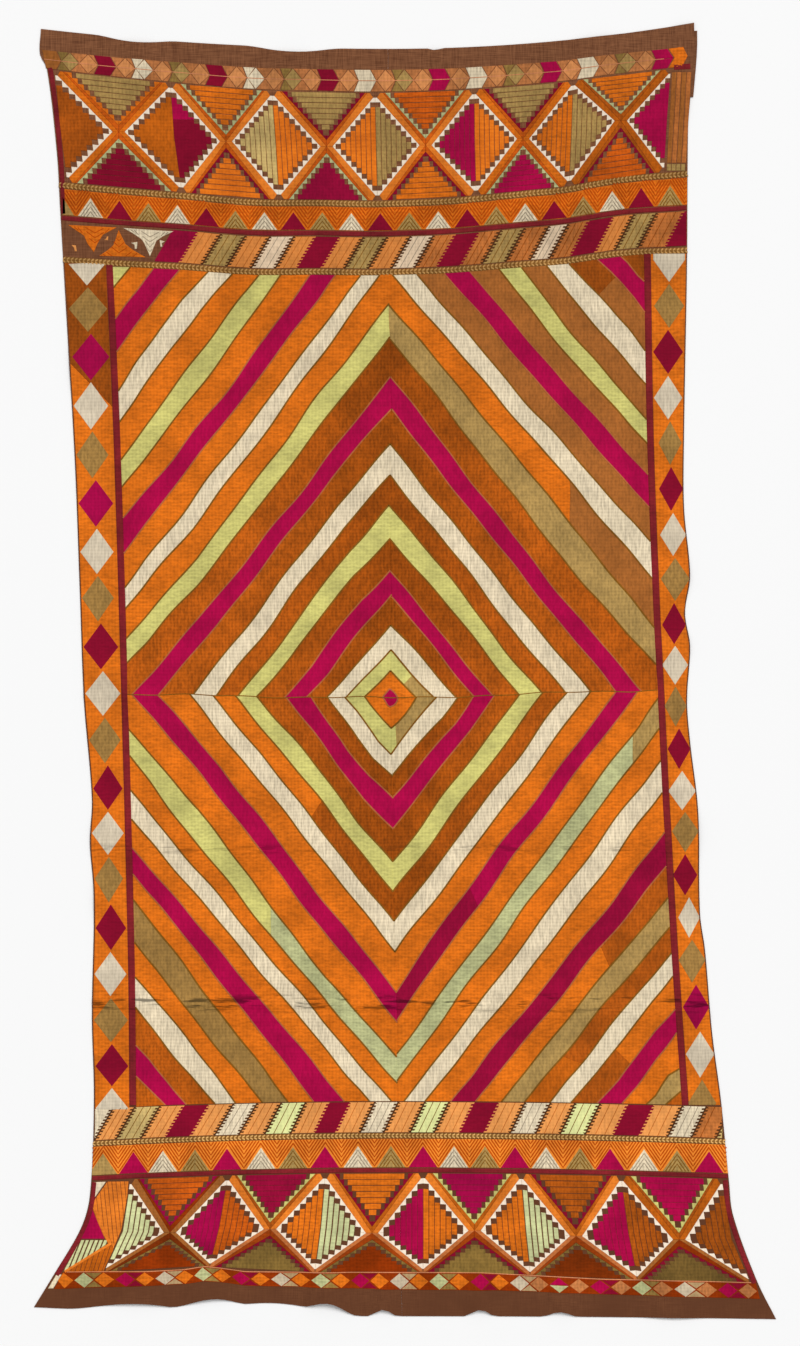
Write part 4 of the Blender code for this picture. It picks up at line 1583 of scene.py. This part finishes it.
ground_left = ground_panel("ground_left", "panel_left", LEFT_EDGE, "left", -CLEARANCE / 2)
ground_right = ground_panel("ground_right", "panel_right", RIGHT_EDGE, "right", CLEARANCE / 2)
# the turned-under edge takes the darker khaddar, with painted shade
frame["nodes"]["turned_edge"].data.materials[0] = M["turned"]
for quarter in QUARTERS:
    field_quarter(quarter)
ring_outlines()
middle_line()
for border in BORDERS:
    side_border(border)
maroon_lines()
cords()
chevron_row()
head_diamond_band()
row_ground("head_triangle_ground", CORD_FOOT, WINE_HEAD, "orange",
           ((-344, -342.5), (282, 282)))
triangle_row("head_triangles", CORD_FOOT, WINE_HEAD, HEAD_TRIANGLES, 12.8, (-342.5, 282))
row_ground("head_slant_ground", WINE_FOOT, BRAID_HEAD, "umber", ((-230, -250), (281, 281)),
           1.6 * MM)
slant_row("head_slants", WINE_FOOT, BRAID_HEAD, HEAD_SLANTS, (-250, 281.5))
head_end_stars()
row_ground("foot_slant_ground", FOOT_TOP, FOOT_BRAID_HEAD, "umber", ((-309, -311), (314, 319)),
           1.6 * MM)
slant_row("foot_slants", FOOT_TOP, FOOT_BRAID_HEAD, FOOT_SLANTS, (-310, 317), (LEAN, FOOT_LEAN))
row_ground("foot_triangle_ground", FOOT_BRAID_FOOT, FOOT_WINE_HEAD, "tri_orange",
           ((-311.5, -313), (320, 323)))
triangle_row("foot_triangles", FOOT_BRAID_FOOT, FOOT_WINE_HEAD, FOOT_TRIANGLES, 14.6, (-313, 322))
foot_diamond_band()
small_diamond_row()

silk = [item for item in bpy.data.objects if item.get("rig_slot") == "floss"]

# ---------------------------------------------------------------- floor, light and camera

FLOOR = 30.0              # metres
FLOOR_HEIGHT = -0.0003    # just below the cloth
SKY = 0.50                # share of the light that comes from all round
KEY = 0.52                # share that comes from the key light
KEY_TILT = radians(38)
KEY_TURN = radians(-22)
KEY_SPREAD = radians(30)
CAMERA = (-0.0095, -0.0038, 6.0)         # metres, straight above the cloth
FRAME_LENGTH = 2.5574     # metres of the surface along the frame
SENSOR = 36.0
FARTHEST = 100.0


def floor():
    half = FLOOR / 2
    mesh = bpy.data.meshes.new("floor")
    corners = [(x, y, FLOOR_HEIGHT) for x, y in ((-half, -half), (half, -half), (half, half),
                                                 (-half, half))]
    mesh.from_pydata(corners, [], [(0, 1, 2, 3)])
    mesh.materials.append(floor_material())
    item = place("floor", mesh)


def lights():
    world = bpy.data.worlds.new("studio")
    bpy.context.scene.world = world
    world.use_nodes = True
    background = world.node_tree.nodes["Background"]
    background.inputs["Color"].default_value = WHITE
    background.inputs["Strength"].default_value = SKY
    key = bpy.data.lights.new("key", "SUN")
    key.energy = KEY * pi / cos(KEY_TILT)
    key.angle = KEY_SPREAD
    place("key", key).rotation_euler = (-KEY_TILT, 0.0, KEY_TURN)


def camera():
    data = bpy.data.cameras.new("camera")
    data.sensor_width = SENSOR
    data.lens = SENSOR * CAMERA[2] / FRAME_LENGTH
    data.clip_end = FARTHEST
    item = place("camera", data)
    item.location = CAMERA
    bpy.context.scene.camera = item


bpy.context.scene.view_settings.view_transform = "Standard"
floor()
lights()
camera()
